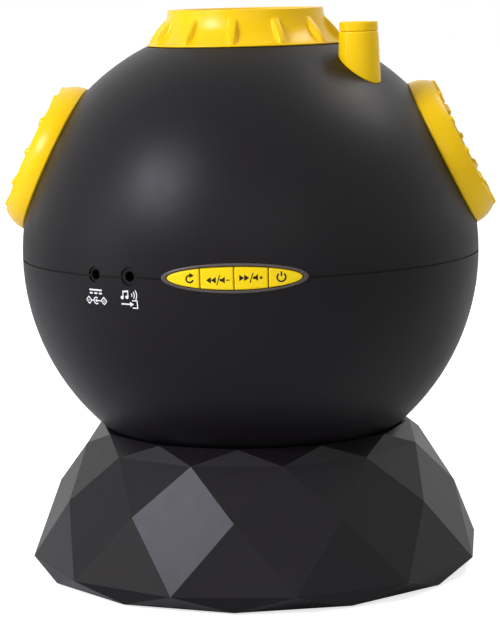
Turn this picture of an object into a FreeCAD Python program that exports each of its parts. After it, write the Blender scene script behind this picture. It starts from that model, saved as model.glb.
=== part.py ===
import FreeCAD, Part
import Sketcher
import math
import os
import re

# A home planetarium projector: a ball with lens, lamps, speakers and keys, resting in a faceted stand.
# Millimetres and degrees. The origin is on the ground under the middle of the stand, +Z up, the keys face -Y.
# Levels inside the ball are heights above or below its centre.

SIZES = {
    # Ball and its two shells
    "ball_radius": 85.0,
    "shell_wall": 2.5,
    "seam_width": 0.7,
    "seam_depth": 0.6,
    "lip_depth": 2.5,
    "lip_top": 2.0,
    "lip_wall": 1.4,
    "lip_play": 0.2,
    "land_margin": 0.65,
    "land_thickness": 4.0,
    # Gaps between pieces, and how far a cutting or joined body runs past the face it meets
    "fit_gap": 0.1,
    "screw_play": 0.2,
    "turning_gap": 0.3,
    "shaft_gap": 0.06,
    "run_past": 1.0,
    # Broken edges, the floor under a blind hole, and the turn that keeps a ball's seam line off its openings
    "fine_break": 0.4,
    "edge_break": 0.6,
    "wide_break": 0.8,
    "blind_floor": 0.6,
    "ball_turn": 100.0,
    # Faceted stand
    "foot_stand": 0.8,
    "facet_count": 12.0,
    "facet_turn": 12.8,
    "rim_radius": 58.4,
    "rim_level": 53.4,
    "rim_gap": 2.84,
    "shoulder_step": 5.1,
    "shoulder_drop": 5.5,
    "waist_drop": 17.6,
    "skirt_radius": 84.9,
    "skirt_level": 5.8,
    "bottom_step": 4.0,
    "stand_wall": 2.6,
    "cradle_wall": 2.5,
    "cradle_play": 0.12,
    "cup_height": 5.0,
    "seat_inner": 37.5,
    "seat_width": 6.5,
    "seat_edge": 0.72,
    "seat_height": 6.0,
    "plate_thickness": 2.5,
    "plate_sink": 1.4,
    "stand_boss_radius": 4.0,
    "stand_boss_inset": 2.5,
    "foot_radius": 6.0,
    "foot_thickness": 2.3,
    "foot_inset": 13.9,
    # Screws
    "screw_radius": 1.5,
    "screw_head_radius": 2.8,
    "screw_head_height": 1.8,
    "screw_slot": 0.6,
    "stand_screw_length": 10.0,
    "shell_screw_length": 18.0,
    "lamp_screw_length": 6.5,
    "small_screw_radius": 0.9,
    "small_screw_head_radius": 1.8,
    "small_screw_head_height": 1.1,
    "small_screw_length": 4.8,
    # Posts that hold the shells together
    "post_across": 26.0,
    "post_deep": 45.0,
    "upper_post_radius": 4.0,
    "lower_post_radius": 5.6,
    "well_radius": 3.2,
    "well_top": -14.0,
    # Focus ring
    "ring_base_radius": 36.6,
    "ring_taper": 7.95,
    "ring_height": 13.1,
    "ring_rim": 4.05,
    "ring_wall": 2.45,
    "ring_flange": 0.8,
    "rib_count": 12.0,
    "rib_width": 3.2,
    "rib_turn": 25.3,
    "focus_rise_per_turn": 12.0,
    "focus_turn": 60.0,
    "groove_spare": 4.0,
    # Lens mount, barrel and lenses
    "neck_wall": 2.0,
    "neck_drop": 2.8,
    "mount_flange_inset": 0.6,
    "mount_flange_thickness": 3.0,
    "mount_screw_inset": 4.5,
    "guide_start": 0.4,
    "barrel_drop": 3.0,
    "barrel_length": 18.0,
    "barrel_wall": 2.7,
    "front_seat_drop": 8.0,
    "rear_seat_rise": 3.5,
    "seat_step": 1.8,
    "pin_drop": 4.0,
    "pin_radius": 1.0,
    "pin_end_gap": 0.6,
    "groove_depth": 1.8,
    "groove_play": 0.25,
    "lens_edge": 1.6,
    "front_bulge": 2.6,
    "rear_bulge": 1.8,
    "retainer_height": 2.4,
    # Frame that carries the lamp, condenser and star disc
    "frame_flange": 2.5,
    "frame_step": 1.0,
    "column_inset": 3.5,
    "column_radius": 3.0,
    "deck_drop": 17.9,
    "deck_thickness": 2.5,
    "collar_wall": 2.1,
    "collar_height": 2.4,
    "lamp_deck_drop": 25.0,
    "lamp_deck_radius": 22.0,
    "bracket_margin": 1.5,
    "condenser_radius": 14.0,
    "condenser_rise": 12.0,
    "condenser_edge": 1.8,
    "condenser_bulge": 4.2,
    "condenser_ledge": 1.2,
    "holder_wall": 2.0,
    "lamp_hole": 6.0,
    "lamp_board_radius": 11.0,
    "lamp_board_thickness": 1.6,
    "lamp_width": 5.0,
    "lamp_body": 1.4,
    "lamp_dome": 2.0,
    "sink_width": 36.0,
    "sink_plate": 2.4,
    "sink_depth": 12.0,
    "sink_fin": 1.2,
    "sink_fins": 7.0,
    "lamp_screw_reach": 15.5,
    # Star disc drive
    "disc_overlap": 1.9,
    "disc_thickness": 1.2,
    "disc_rim_width": 4.4,
    "disc_teeth": 80.0,
    "pinion_teeth": 16.0,
    "pressure_angle": 20.0,
    "root_share": 1.25,
    "tooth_play": 0.16,
    "centre_play": 0.1,
    "gear_height": 3.5,
    "clamp_height": 2.2,
    "clamp_wall": 2.4,
    "shaft_radius": 1.0,
    "shaft_depth": 6.0,
    "shaft_room": 0.5,
    "gearbox_radius": 7.0,
    "gearbox_height": 9.0,
    "can_radius": 6.0,
    "can_height": 14.0,
    # Shooting-star tube
    "meteor_azimuth": 32.065,
    "meteor_gap": 5.61,
    "meteor_foot_radius": 7.7,
    "meteor_top_radius": 7.05,
    "meteor_cap_radius": 6.85,
    "meteor_foot_drop": 20.0,
    "meteor_seam_drop": 3.8,
    "meteor_cap_height": 3.4,
    "meteor_cap_plug": 1.6,
    "meteor_wall": 1.65,
    "meteor_stub_radius": 6.3,
    "meteor_stub_drop": 8.0,
    "meteor_window": 4.2,
    "meteor_lens_drop": 3.4,
    "meteor_lens_edge": 1.0,
    "meteor_lens_bulge": 0.6,
    "meteor_board_rise": 3.0,
    "meteor_board_thickness": 1.2,
    "meteor_lamp_radius": 2.5,
    "meteor_lamp_body": 3.0,
    # Speakers on both sides
    "ear_elevation": 26.0,
    "ear_radius": 28.7,
    "ear_rise": 3.7,
    "ear_slope": 3.3,
    "ear_face_width": 5.6,
    "ear_wall": 2.3,
    "grille_drop": 4.2,
    "grille_thickness": 1.5,
    "grille_ledge_width": 1.4,
    "grille_hole": 0.85,
    "grille_spacing": 4.1,
    "grille_rings": 4.0,
    "nub_inset": 2.0,
    "nub_length": 3.4,
    "nub_radius": 1.25,
    "nub_count": 12.0,
    "nub_turn": 3.0,
    "speaker_drop": 7.0,
    "speaker_overlap": 2.6,
    "speaker_seat_wall": 3.8,
    "speaker_seat_height": 8.0,
    "basket_plate": 1.4,
    "basket_rim": 3.0,
    "basket_depth": 11.0,
    "basket_back_radius": 9.5,
    "basket_window": 7.5,
    "magnet_radius": 8.5,
    "magnet_depth": 8.0,
    "cone_throat": 4.0,
    "cone_depth": 7.6,
    "cone_wall": 0.6,
    "dust_cap_rise": 1.6,
    # Keys on the seam
    "strip_half_width": 25.35,
    "strip_half_height": 5.25,
    "strip_stand": 0.6,
    "keys_half_width": 23.4,
    "keys_half_height": 4.1,
    "key_stand": 0.9,
    "key_gap": 0.2,
    "key_split": 0.35,
    "key_divider": 11.7,
    "key_depth": 4.2,
    "key_flange": 1.3,
    "key_flange_reach": 0.85,
    "key_travel": 0.6,
    "stem_radius": 1.4,
    "stem_length": 4.2,
    "outer_stem_across": 16.6,
    "switch_width": 6.2,
    "switch_height": 3.4,
    "switch_sink": 0.8,
    "key_board_width": 54.0,
    "board_thickness": 1.6,
    # Main board and sockets
    "board_top": -6.5,
    "board_left": 60.0,
    "board_right": 36.0,
    "board_front": 38.0,
    "board_margin": 2.5,
    "shelf_width": 12.0,
    "shelf_thickness": 4.0,
    "board_screw_across": 14.0,
    "board_screw_inset": 8.4,
    "chip_width": 9.0,
    "chip_height": 1.6,
    "capacitor_radius": 3.2,
    "capacitor_height": 8.0,
    "header_length": 12.0,
    "header_width": 4.0,
    "power_azimuth": 35.8,
    "audio_azimuth": 25.8,
    "power_nose_radius": 2.75,
    "power_bore_radius": 1.85,
    "power_pin_radius": 0.65,
    "power_width": 8.6,
    "audio_nose_radius": 3.15,
    "audio_bore_radius": 1.8,
    "audio_width": 7.4,
    "socket_bore_depth": 13.0,
    "socket_sink": 0.6,
    "socket_setback": 4.0,
    "socket_length": 13.5,
}

# Values that several pieces share, worked out from the sizes above
SHARED = {
    # Stand, and the ball's height in it
    "shoulder_radius": "rim_radius + shoulder_step",
    "shoulder_level": "rim_level - shoulder_drop",
    "waist_level": "shoulder_level - waist_drop",
    "waist_radius": "(shoulder_radius + (skirt_radius - shoulder_radius) * (shoulder_level - waist_level)"
                    " / (shoulder_level - skirt_level)) / cos(180 / facet_count)",
    "bottom_radius": "skirt_radius - bottom_step",
    "ball_height": "rim_level + rim_gap + sqrt(ball_radius^2 - rim_radius^2)",
    "ball_level": "foot_stand + ball_height",
    "seat_outer": "seat_inner + seat_width",
    "seat_level": "ball_height - sqrt(ball_radius^2 - seat_inner^2) - seat_edge",
    "stand_boss_offset": "shoulder_radius - stand_boss_inset",
    "foot_offset": "bottom_radius - foot_inset",
    # Ball
    "inner_radius": "ball_radius - shell_wall",
    "post_limit": "ball_radius - shell_wall / 2",
    "land_level": "sqrt(ball_radius^2 - (ring_base_radius + land_margin)^2)",
    "inner_land": "land_level - land_thickness",
    "pilot_radius": "screw_radius + fit_gap / 2",
    "hole_radius": "screw_radius + screw_play",
    # Focus ring and lens
    "ring_level": "land_level + turning_gap",
    "ring_top": "ring_level + ring_height",
    "ring_top_radius": "ring_base_radius - ring_taper",
    "ring_mouth_radius": "ring_top_radius - ring_rim",
    "neck_radius": "ring_top_radius - ring_wall",
    "neck_bore": "neck_radius - neck_wall",
    "neck_top": "ring_top - neck_drop",
    "ring_bore": "neck_radius + turning_gap",
    "barrel_radius": "neck_bore - turning_gap",
    "barrel_bore": "barrel_radius - barrel_wall",
    "barrel_top": "neck_top - barrel_drop",
    "barrel_bottom": "barrel_top - barrel_length",
    "front_seat_level": "barrel_top - front_seat_drop",
    "rear_seat_level": "barrel_bottom + rear_seat_rise",
    "seat_bore": "barrel_bore - seat_step",
    "lens_radius": "barrel_bore - fit_gap",
    "pin_level": "barrel_top - pin_drop",
    "pin_reach": "ring_bore + groove_depth - pin_end_gap",
    "mount_flange_radius": "ring_base_radius - mount_flange_inset",
    "mount_screw_offset": "mount_flange_radius - mount_screw_inset",
    # Frame, lamp and disc
    "flange_under": "inner_land - mount_flange_thickness",
    "frame_top": "flange_under - frame_flange",
    "column_offset": "mount_flange_radius - column_inset",
    "deck_level": "frame_top - deck_drop",
    "deck_top": "deck_level + deck_thickness",
    "deck_bore": "seat_bore + screw_play",
    "collar_radius": "deck_bore + collar_wall",
    "lamp_deck_level": "deck_level - lamp_deck_drop",
    "condenser_level": "lamp_deck_level + condenser_rise",
    "sink_top": "lamp_deck_level - lamp_board_thickness",
    "disc_radius": "collar_radius + disc_overlap",
    "tooth_size": "2 * (disc_radius + disc_rim_width) / disc_teeth",
    "gear_distance": "tooth_size * (disc_teeth + pinion_teeth) / 2 + centre_play",
    "gear_under": "deck_top + fit_gap * 2",
    "gear_top": "gear_under + gear_height",
    # Shooting-star tube
    "meteor_offset": "ring_base_radius + meteor_foot_radius + meteor_gap",
    "meteor_across": "meteor_offset * cos(meteor_azimuth)",
    "meteor_deep": "meteor_offset * sin(meteor_azimuth)",
    "meteor_seam_level": "ball_radius - meteor_seam_drop",
    "meteor_top_level": "meteor_seam_level + meteor_cap_height",
    "meteor_foot_level": "ball_radius - meteor_foot_drop",
    "meteor_stub_level": "meteor_foot_level - meteor_stub_drop",
    "meteor_bore": "meteor_top_radius - meteor_wall",
    "meteor_lens_level": "meteor_seam_level - meteor_lens_drop",
    "meteor_board_level": "meteor_stub_level + meteor_board_rise",
    "meteor_board_top": "meteor_board_level + meteor_board_thickness",
    # Speakers
    "ear_foot": "sqrt(ball_radius^2 - ear_radius^2)",
    "ear_face": "ball_radius + ear_rise",
    "ear_face_radius": "ear_radius - ear_slope",
    "ear_mouth": "ear_face_radius - ear_face_width",
    "grille_level": "ear_face - grille_drop",
    "grille_ledge": "ear_mouth - grille_ledge_width",
    "nub_offset": "ear_face_radius - nub_inset",
    "speaker_level": "grille_level - speaker_drop",
    "speaker_radius": "grille_ledge + speaker_overlap",
    "basket_back": "speaker_level - basket_depth",
    "basket_bore": "speaker_radius - basket_rim - basket_plate",
    # Keys, board and sockets
    "key_back": "ball_radius - key_depth",
    "stem_end": "key_back - stem_length",
    "key_board_face": "stem_end + switch_sink - switch_height",
    "board_under": "board_top - board_thickness",
    "board_radius": "inner_radius - board_margin",
    "shelf_deep": "ball_radius - shelf_width",
    "board_screw_deep": "ball_radius - board_screw_inset",
    "socket_face": "ball_radius - socket_sink",
    "socket_front": "ball_radius - socket_setback",
}

# Curves as pairs: the share of the step in radius that is left, and the share of the height reached
RING_FLARE = ((0.74, 0.10), (0.50, 0.22), (0.33, 0.36), (0.20, 0.54), (0.12, 0.72))
RIB_CREST = ((0.90, 0.12), (0.78, 0.28), (0.62, 0.42), (0.40, 0.58), (0.10, 0.75))
EAR_CURVE = ((0.98, 0.18), (0.85, 0.44), (0.60, 0.69), (0.36, 0.86), (0.18, 0.96))

WORD = re.compile(r"[a-z][a-z_]+")
EAR_SIDES = {"right": 1, "left": -1}

doc = FreeCAD.newDocument("planetarium_projector")
sheet = doc.addObject("Spreadsheet::Sheet", "Sizes")
shared = doc.addObject("App::VarSet", "Shared")
nodes = []


def sized(text):
    """Point each size named in an expression at the sheet or at the shared values."""
    def full(found):
        name = found.group()
        if name in SIZES:
            return "Sizes." + name
        return "Shared." + name if name in SHARED else name
    return WORD.sub(full, str(text))


def fill_sheet():
    for row, (name, value) in enumerate(SIZES.items(), start=1):
        sheet.set("A%d" % row, name)
        sheet.set("B%d" % row, str(value))
        sheet.setAlias("B%d" % row, name)
    doc.recompute()
    for name, text in SHARED.items():
        shared.addProperty("App::PropertyFloat", name, "Shared")
        shared.setExpression(name, sized(text))
    doc.recompute()


def mm(text):
    """A size, a shared value or an expression of them as a number."""
    return float(shared.evalExpression(sized(text)))


def bind(item, **sizes):
    for prop, text in sizes.items():
        item.setExpression(prop, sized(text))
    return item


def place(item, x="0", y="0", z="0", axis=None, angle="0"):
    if axis:
        item.Placement = FreeCAD.Placement(FreeCAD.Vector(), FreeCAD.Rotation(FreeCAD.Vector(*axis), 10))
        item.setExpression("Placement.Rotation.Angle", sized(angle))
    for letter, text in zip("xyz", (x, y, z)):
        item.setExpression("Placement.Base." + letter, sized(text))
    return item


def sphere(name, radius, x="0", y="0", z="0", low="-90", high="90"):
    item = bind(doc.addObject("Part::Sphere", name), Radius=radius, Angle1=low, Angle2=high)
    return place(item, x, y, z, (0, 0, 1), "ball_turn")


def cylinder(name, radius, height, x="0", y="0", z="0", axis=None, angle="0"):
    item = bind(doc.addObject("Part::Cylinder", name), Radius=radius, Height=height)
    return place(item, x, y, z, axis, angle)


def rear_cylinder(name, radius, start, length, x="0"):
    """A cylinder that starts behind the centre and runs out towards the rear, -Y."""
    return cylinder(name, radius, length, x=x, y="-(%s)" % start, axis=(1, 0, 0), angle="90")


def box(name, length, width, height, x="0", y="0", z="0"):
    """A block centred on x and y that stands on z."""
    item = bind(doc.addObject("Part::Box", name), Length=length, Width=width, Height=height)
    return place(item, "%s - (%s) / 2" % (x, length), "%s - (%s) / 2" % (y, width), z)


def cone(name, low, high, height, z="0"):
    item = bind(doc.addObject("Part::Cone", name), Radius1=low, Radius2=high, Height=height)
    return place(item, z=z)


def fuse(name, *items):
    item = doc.addObject("Part::MultiFuse", name)
    item.Shapes = list(items)
    return item


def common(name, *items):
    item = doc.addObject("Part::MultiCommon", name)
    item.Shapes = list(items)
    return item


def cut(name, base, *tools):
    item = doc.addObject("Part::Cut", name)
    item.Base = base
    item.Tool = tools[0] if len(tools) == 1 else fuse(name + "_tools", *tools)
    return item


def group(name, items):
    item = doc.addObject("Part::Compound", name)
    item.Links = list(items)
    return item


def copy(name, item, x="0", y="0", z="0", axis=None, angle="0"):
    return place(group(name, [item]), x, y, z, axis, angle)


def node(name, item):
    """Name a finished piece and list it for export."""
    item.Label = name
    nodes.append(item)
    return item


def ball_node(name, item):
    """A piece modelled about the ball's centre, lifted to the ball's place."""
    return node(name, place(item, z="ball_level"))


def sketch_on(body, role):
    sketch = body.newObject("Sketcher::SketchObject", body.Name + "_sketch")
    plane = [item for item in body.Origin.OriginFeatures if item.Role == role][0]
    sketch.AttachmentSupport = [(plane, "")]
    sketch.MapMode = "FlatFace"
    return sketch


def outline(sketch, points):
    """A closed outline whose corners are held at the given expressions."""
    count = len(points)
    corners = [FreeCAD.Vector(mm(across), mm(up), 0) for across, up in points]
    for step in range(count):
        sketch.addGeometry(Part.LineSegment(corners[step], corners[(step + 1) % count]), False)
    for step in range(count):
        sketch.addConstraint(Sketcher.Constraint("Coincident", step, 2, (step + 1) % count, 1))
    for step, (across, up) in enumerate(points):
        hold = sketch.addConstraint(Sketcher.Constraint("DistanceX", -1, 1, step, 1, corners[step].x))
        sketch.setExpression("Constraints[%d]" % hold, sized(across))
        hold = sketch.addConstraint(Sketcher.Constraint("DistanceY", -1, 1, step, 1, corners[step].y))
        sketch.setExpression("Constraints[%d]" % hold, sized(up))


def turned(name, points):
    """A body turned about its own Z axis from points of radius and height."""
    body = doc.addObject("PartDesign::Body", name)
    sketch = sketch_on(body, "XZ_Plane")
    outline(sketch, points)
    turn = body.newObject("PartDesign::Revolution", name + "_turn")
    turn.Profile = sketch
    turn.ReferenceAxis = (sketch, ["V_Axis"])
    turn.Angle = 360
    return body


def oval(name, half_width, half_height):
    """An upright oval bar that runs out through the ball's rear wall, -Y."""
    edge = bind(doc.addObject("Part::Ellipse", name + "_edge"),
                MajorRadius=half_width, MinorRadius=half_height)
    place(edge, y="-ball_radius / 2", axis=(1, 0, 0), angle="90")
    bar = doc.addObject("Part::Extrusion", name)
    bar.Base = edge
    bar.DirMode = "Custom"
    bar.Dir = FreeCAD.Vector(0, -1, 0)
    bar.Solid = True
    return bind(bar, LengthFwd="ball_radius")


def layer(name, inner, outer):
    """The hollow ball between two radii."""
    return cut(name, sphere(name + "_outer", outer), sphere(name + "_inner", inner))


def screw(name, radius, head, head_height, length):
    """A screw that points up: its head's seat is at zero and its cross recess is below."""
    solid = fuse(name + "_solid", cylinder(name + "_head", head, head_height, z="-(%s)" % head_height),
                 cylinder(name + "_shank", radius, "%s - %s" % (length, radius)),
                 cone(name + "_tip", radius, "%s / 2" % radius, radius, z="%s - %s" % (length, radius)))
    slots = [box(name + "_slot_" + way, long, wide, "%s / 2" % head_height, z="-(%s)" % head_height)
             for way, long, wide in (("a", head, "screw_slot"), ("b", "screw_slot", head))]
    return cut(name, solid, *slots)


def polar(name, item, count, offset="0", first="0"):
    """Copies of a piece round the Z axis, each moved out by the offset."""
    moved = copy(name + "_moved", item, x=offset)
    return [copy("%s_%d" % (name, step), moved, axis=(0, 0, 1),
                 angle="%s + 360 * %d / %d" % (first, step, count)) for step in range(count)]


def corner_places():
    """The places of the four posts that join the shells."""
    return [{"x": side + "post_across", "y": end + "post_deep"} for side in ("", "-") for end in ("", "-")]


def side_places(across, deep="0"):
    """The same place on the right and on the left of the middle."""
    return {"right": {"x": across, "y": deep}, "left": {"x": "-" + across, "y": deep}}


# Stand

def faceted_form(inset):
    """The faceted outer form of the stand, or its hollow, drawn in by an inset."""
    count = int(mm("facet_count"))
    rings = {
        "rim": (mm("rim_radius") - inset, mm("rim_level") - inset, 0.5),
        "shoulder": (mm("shoulder_radius") - inset, mm("shoulder_level") - inset / 2, 0.0),
        "waist": (mm("waist_radius") - inset, mm("waist_level") - inset / 3, 0.5),
        "skirt": (mm("skirt_radius") - inset, mm("skirt_level"), 0.0),
        "bottom": (mm("bottom_radius") - inset, 0.0, 0.5),
    }

    def corner(ring, index):
        radius, level, half = rings[ring]
        angle = math.radians(mm("facet_turn")) + 2 * math.pi * (index + half) / count
        return FreeCAD.Vector(radius * math.cos(angle), radius * math.sin(angle), level)

    panels = []
    for index in range(count):
        rim_pair = [corner("rim", index - 1), corner("rim", index)]
        shoulder_pair = [corner("shoulder", index), corner("shoulder", index + 1)]
        skirt_pair = [corner("skirt", index), corner("skirt", index + 1)]
        bottom_pair = [corner("bottom", index - 1), corner("bottom", index)]
        waist_before, waist_after = corner("waist", index - 1), corner("waist", index)
        panels.append([*rim_pair, shoulder_pair[0]])
        panels.append([*shoulder_pair, rim_pair[1]])
        panels.append([*shoulder_pair, waist_after])
        panels.append([shoulder_pair[0], waist_after, skirt_pair[0]])
        panels.append([shoulder_pair[0], skirt_pair[0], waist_before])
        panels.append([*skirt_pair, waist_after])
        panels.append([*skirt_pair, bottom_pair[1]])
        panels.append([*bottom_pair, skirt_pair[0]])
    for ring in ("rim", "bottom"):
        panels.append([corner(ring, index) for index in range(count)])
    faces = [Part.Face(Part.makePolygon([*panel, panel[0]])) for panel in panels]
    return Part.makeSolid(Part.makeShell(faces)).removeSplitter()


def form(name, shape):
    item = doc.addObject("Part::Feature", name)
    item.Shape = shape
    return item


def stand_screw_places():
    return [{"x": "stand_boss_offset * cos(%d)" % turn, "y": "stand_boss_offset * sin(%d)" % turn}
            for turn in (45, 135, 225, 315)]


def build_base_shell():
    outer = form("stand_outer", faceted_form(0.0))
    hollow = form("stand_hollow", faceted_form(mm("stand_wall")))
    skin = cut("stand_skin", outer, hollow)
    bowl = sphere("cradle_bowl", "ball_radius + turning_gap + cradle_wall", z="ball_height")
    band = cylinder("cradle_band", "rim_radius", "rim_level - seat_level", z="seat_level")
    cup = cylinder("cradle_cup", "seat_outer + turning_gap + cradle_wall", "cup_height + cradle_wall * 2",
                   z="seat_level - cradle_wall")
    bosses = [cylinder("stand_boss_%d" % index, "stand_boss_radius", "rim_level - plate_thickness",
                       z="plate_thickness", **spot) for index, spot in enumerate(stand_screw_places())]
    cradle = fuse("cradle", common("cradle_rim", bowl, band), cup, *bosses)
    inside = common("cradle_inside", cradle, outer)
    room = sphere("ball_room", "ball_radius + turning_gap + cradle_play", z="ball_height")
    ring_room = cylinder("ring_room", "seat_outer + turning_gap", "seat_height * 2", z="seat_level")
    well = cylinder("cradle_hole", "seat_inner - run_past", "cradle_wall * 3",
                    z="seat_level - cradle_wall * 2")
    pilots = [cylinder("stand_pilot_%d" % index, "pilot_radius",
                       "stand_screw_length + plate_sink + blind_floor", **spot)
              for index, spot in enumerate(stand_screw_places())]
    shell = cut("stand_shell", fuse("stand_joined", skin, inside), room, ring_room, well, *pilots)
    return node("base_shell", place(shell, z="foot_stand"))


def build_base_plate():
    radius = mm("bottom_radius - stand_wall - fit_gap")
    count = int(mm("facet_count"))
    turns = [math.radians(mm("facet_turn") + 360 * (step + 0.5) / count) for step in range(count + 1)]
    corners = [FreeCAD.Vector(radius * math.cos(turn), radius * math.sin(turn), 0) for turn in turns]
    thickness = FreeCAD.Vector(0, 0, mm("plate_thickness"))
    blank = form("plate_blank", Part.Face(Part.makePolygon(corners)).extrude(thickness))
    holes = [cylinder("plate_hole_%d" % index, "hole_radius", "plate_thickness + run_past * 2",
                      z="-run_past", **spot) for index, spot in enumerate(stand_screw_places())]
    sinks = [cylinder("plate_sink_%d" % index, "screw_head_radius + fit_gap", "plate_sink + run_past",
                      z="-run_past", **spot) for index, spot in enumerate(stand_screw_places())]
    pocket = cylinder("foot_pocket", "foot_radius + fit_gap", "foot_thickness - foot_stand + run_past",
                      z="-run_past")
    pockets = polar("foot_pocket_at", pocket, 4, "foot_offset")
    plate = cut("plate", blank, *holes, *sinks, *pockets)
    return node("base_plate", place(plate, z="foot_stand"))


def build_base_feet():
    foot = turned("foot", [("0", "0"), ("foot_radius - edge_break", "0"), ("foot_radius", "edge_break"),
                           ("foot_radius", "foot_thickness"), ("0", "foot_thickness")])
    return node("base_feet", group("feet", polar("foot_at", foot, 4, "foot_offset")))


def build_base_screws():
    one = screw("stand_screw", "screw_radius", "screw_head_radius", "screw_head_height", "stand_screw_length")
    screws = [copy("stand_screw_%d" % index, one, z="foot_stand + plate_sink", **spot)
              for index, spot in enumerate(stand_screw_places())]
    return node("base_screws", group("stand_screws", screws))


def build_seat_ring():
    blank = turned("seat_blank", [("seat_inner", "seat_level"), ("seat_outer", "seat_level"),
                                  ("seat_outer", "seat_level + seat_height"),
                                  ("seat_inner", "seat_level + seat_height")])
    ring = cut("seat", blank, sphere("seat_room", "ball_radius + turning_gap", z="ball_height"))
    return node("seat_ring", place(ring, z="foot_stand"))


# Ball shells

def ear_place(item, side, distance):
    """Stand a piece on the axis of one speaker, a distance from the ball's centre."""
    sign = EAR_SIDES[side]
    return place(item, x="%d * (%s) * cos(ear_elevation)" % (sign, distance),
                 z="(%s) * sin(ear_elevation)" % distance,
                 axis=(0, 1, 0), angle="%d * (90 - ear_elevation)" % sign)


def socket_hole(name, radius, azimuth):
    bar = rear_cylinder(name + "_bar", radius, "ball_radius / 2", "ball_radius")
    return copy(name, bar, axis=(0, 0, 1), angle="-(%s)" % azimuth)


def rear_openings(name):
    """The holes that both shells share: the key strip's and the two sockets'."""
    return [oval(name + "_strip", "strip_half_width + fit_gap", "strip_half_height + fit_gap"),
            socket_hole(name + "_power", "power_nose_radius + fit_gap", "power_azimuth"),
            socket_hole(name + "_audio", "audio_nose_radius + fit_gap", "audio_azimuth")]


def speaker_seat(side):
    wide = cylinder("seat_wide_" + side, "grille_ledge + speaker_seat_wall", "speaker_seat_height")
    bore = cylinder("seat_bore_" + side, "grille_ledge", "speaker_seat_height * 2")
    return cut("speaker_seat_" + side, ear_place(wide, side, "speaker_level"),
               ear_place(bore, side, "speaker_level - run_past"))


def upper_lip():
    """The lip inside the seam that centres the shells, left out behind the key strip and the sockets."""
    bore = "inner_radius - lip_wall - lip_play"
    high = cut("high_lip", cylinder("high_lip_wide", "post_limit", "lip_top"),
               cylinder("high_lip_bore", bore, "lip_top * 2", z="-lip_top / 2"))
    low = cut("low_lip", cylinder("low_lip_wide", "inner_radius - lip_play", "lip_depth", z="-lip_depth"),
              cylinder("low_lip_bore", bore, "lip_depth * 3", z="-lip_depth * 2"))
    rear = box("lip_gap", "board_left + board_right + lower_post_radius", "ball_radius", "lip_depth * 4",
               x="(board_right - board_left) / 2", y="-ball_radius", z="-lip_depth * 2")
    return cut("upper_lip", fuse("upper_lips", high, low), rear)


def build_upper_shell():
    outer = sphere("upper_outer", "ball_radius", low="0", high="asin(land_level / ball_radius)")
    inner = sphere("upper_inner", "inner_radius", low="0", high="asin(inner_land / inner_radius)")
    mouth = cylinder("upper_mouth", "neck_radius + fit_gap * 2", "land_thickness * 3",
                     z="inner_land - land_thickness")
    meteor = cylinder("upper_meteor", "meteor_stub_radius + fit_gap", "ball_radius",
                      x="meteor_across", y="-meteor_deep", z="meteor_stub_level - run_past")
    ears = [ear_place(cylinder("upper_ear_" + side, "grille_ledge", "ball_radius"), side, "ball_radius / 2")
            for side in EAR_SIDES]
    skin = cut("upper_skin", outer, inner, mouth, meteor, *ears)
    seats = [speaker_seat(side) for side in EAR_SIDES]
    posts = [cylinder("upper_post_%d" % index, "upper_post_radius", "ball_radius", z="board_under", **spot)
             for index, spot in enumerate(corner_places())]
    inside = common("upper_inside", fuse("upper_posts", *seats, *posts), sphere("upper_limit", "post_limit"))
    pilots = [cylinder("upper_pilot_%d" % index, "pilot_radius",
                       "shell_screw_length + well_top - board_under + run_past", z="board_under", **spot)
              for index, spot in enumerate(corner_places())]
    mount_pilot = cylinder("mount_pilot", "pilot_radius", "land_thickness - blind_floor", z="inner_land")
    mount_pilots = polar("mount_pilot_at", mount_pilot, 3, "mount_screw_offset", "-30")
    joined = fuse("upper_joined", skin, inside, upper_lip())
    shell = cut("upper", joined, *rear_openings("upper_rear"), *pilots, *mount_pilots)
    return ball_node("upper_shell", shell)


def build_lower_shell():
    outer = sphere("lower_outer", "ball_radius", high="0")
    inner = sphere("lower_inner", "inner_radius", high="0")
    seam = cut("seam_groove", cylinder("seam_wide", "ball_radius + run_past", "seam_width", z="-seam_width"),
               cylinder("seam_core", "ball_radius - seam_depth", "seam_width * 3", z="-seam_width * 2"))
    skin = cut("lower_skin", outer, inner, seam)
    posts = [cylinder("lower_post_%d" % index, "lower_post_radius", "ball_radius",
                      z="board_under - ball_radius", **spot) for index, spot in enumerate(corner_places())]
    shelf = box("board_shelf", "board_left", "shelf_width", "shelf_thickness",
                y="-(ball_radius + shelf_deep) / 2", z="board_under - shelf_thickness")
    inside = common("lower_inside", fuse("lower_posts", *posts, shelf), sphere("lower_limit", "post_limit"))
    wells = [cylinder("well_%d" % index, "well_radius", "ball_radius", z="well_top - ball_radius", **spot)
             for index, spot in enumerate(corner_places())]
    holes = [cylinder("post_hole_%d" % index, "hole_radius", "board_under - well_top + run_past * 2",
                      z="well_top - run_past", **spot) for index, spot in enumerate(corner_places())]
    pilots = [cylinder("shelf_pilot_" + side, "small_screw_radius + fit_gap / 2", "shelf_thickness",
                       z="board_under - shelf_thickness + blind_floor", **spot)
              for side, spot in side_places("board_screw_across", "-board_screw_deep").items()]
    joined = fuse("lower_joined", skin, inside)
    shell = cut("lower", joined, *rear_openings("lower_rear"), *wells, *holes, *pilots)
    return ball_node("lower_shell", shell)


def build_shell_screws():
    one = screw("shell_screw", "screw_radius", "screw_head_radius", "screw_head_height", "shell_screw_length")
    screws = [copy("shell_screw_%d" % index, one, z="well_top", **spot)
              for index, spot in enumerate(corner_places())]
    return ball_node("shell_screws", group("shell_screw_set", screws))


# Focus ring and lens

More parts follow.
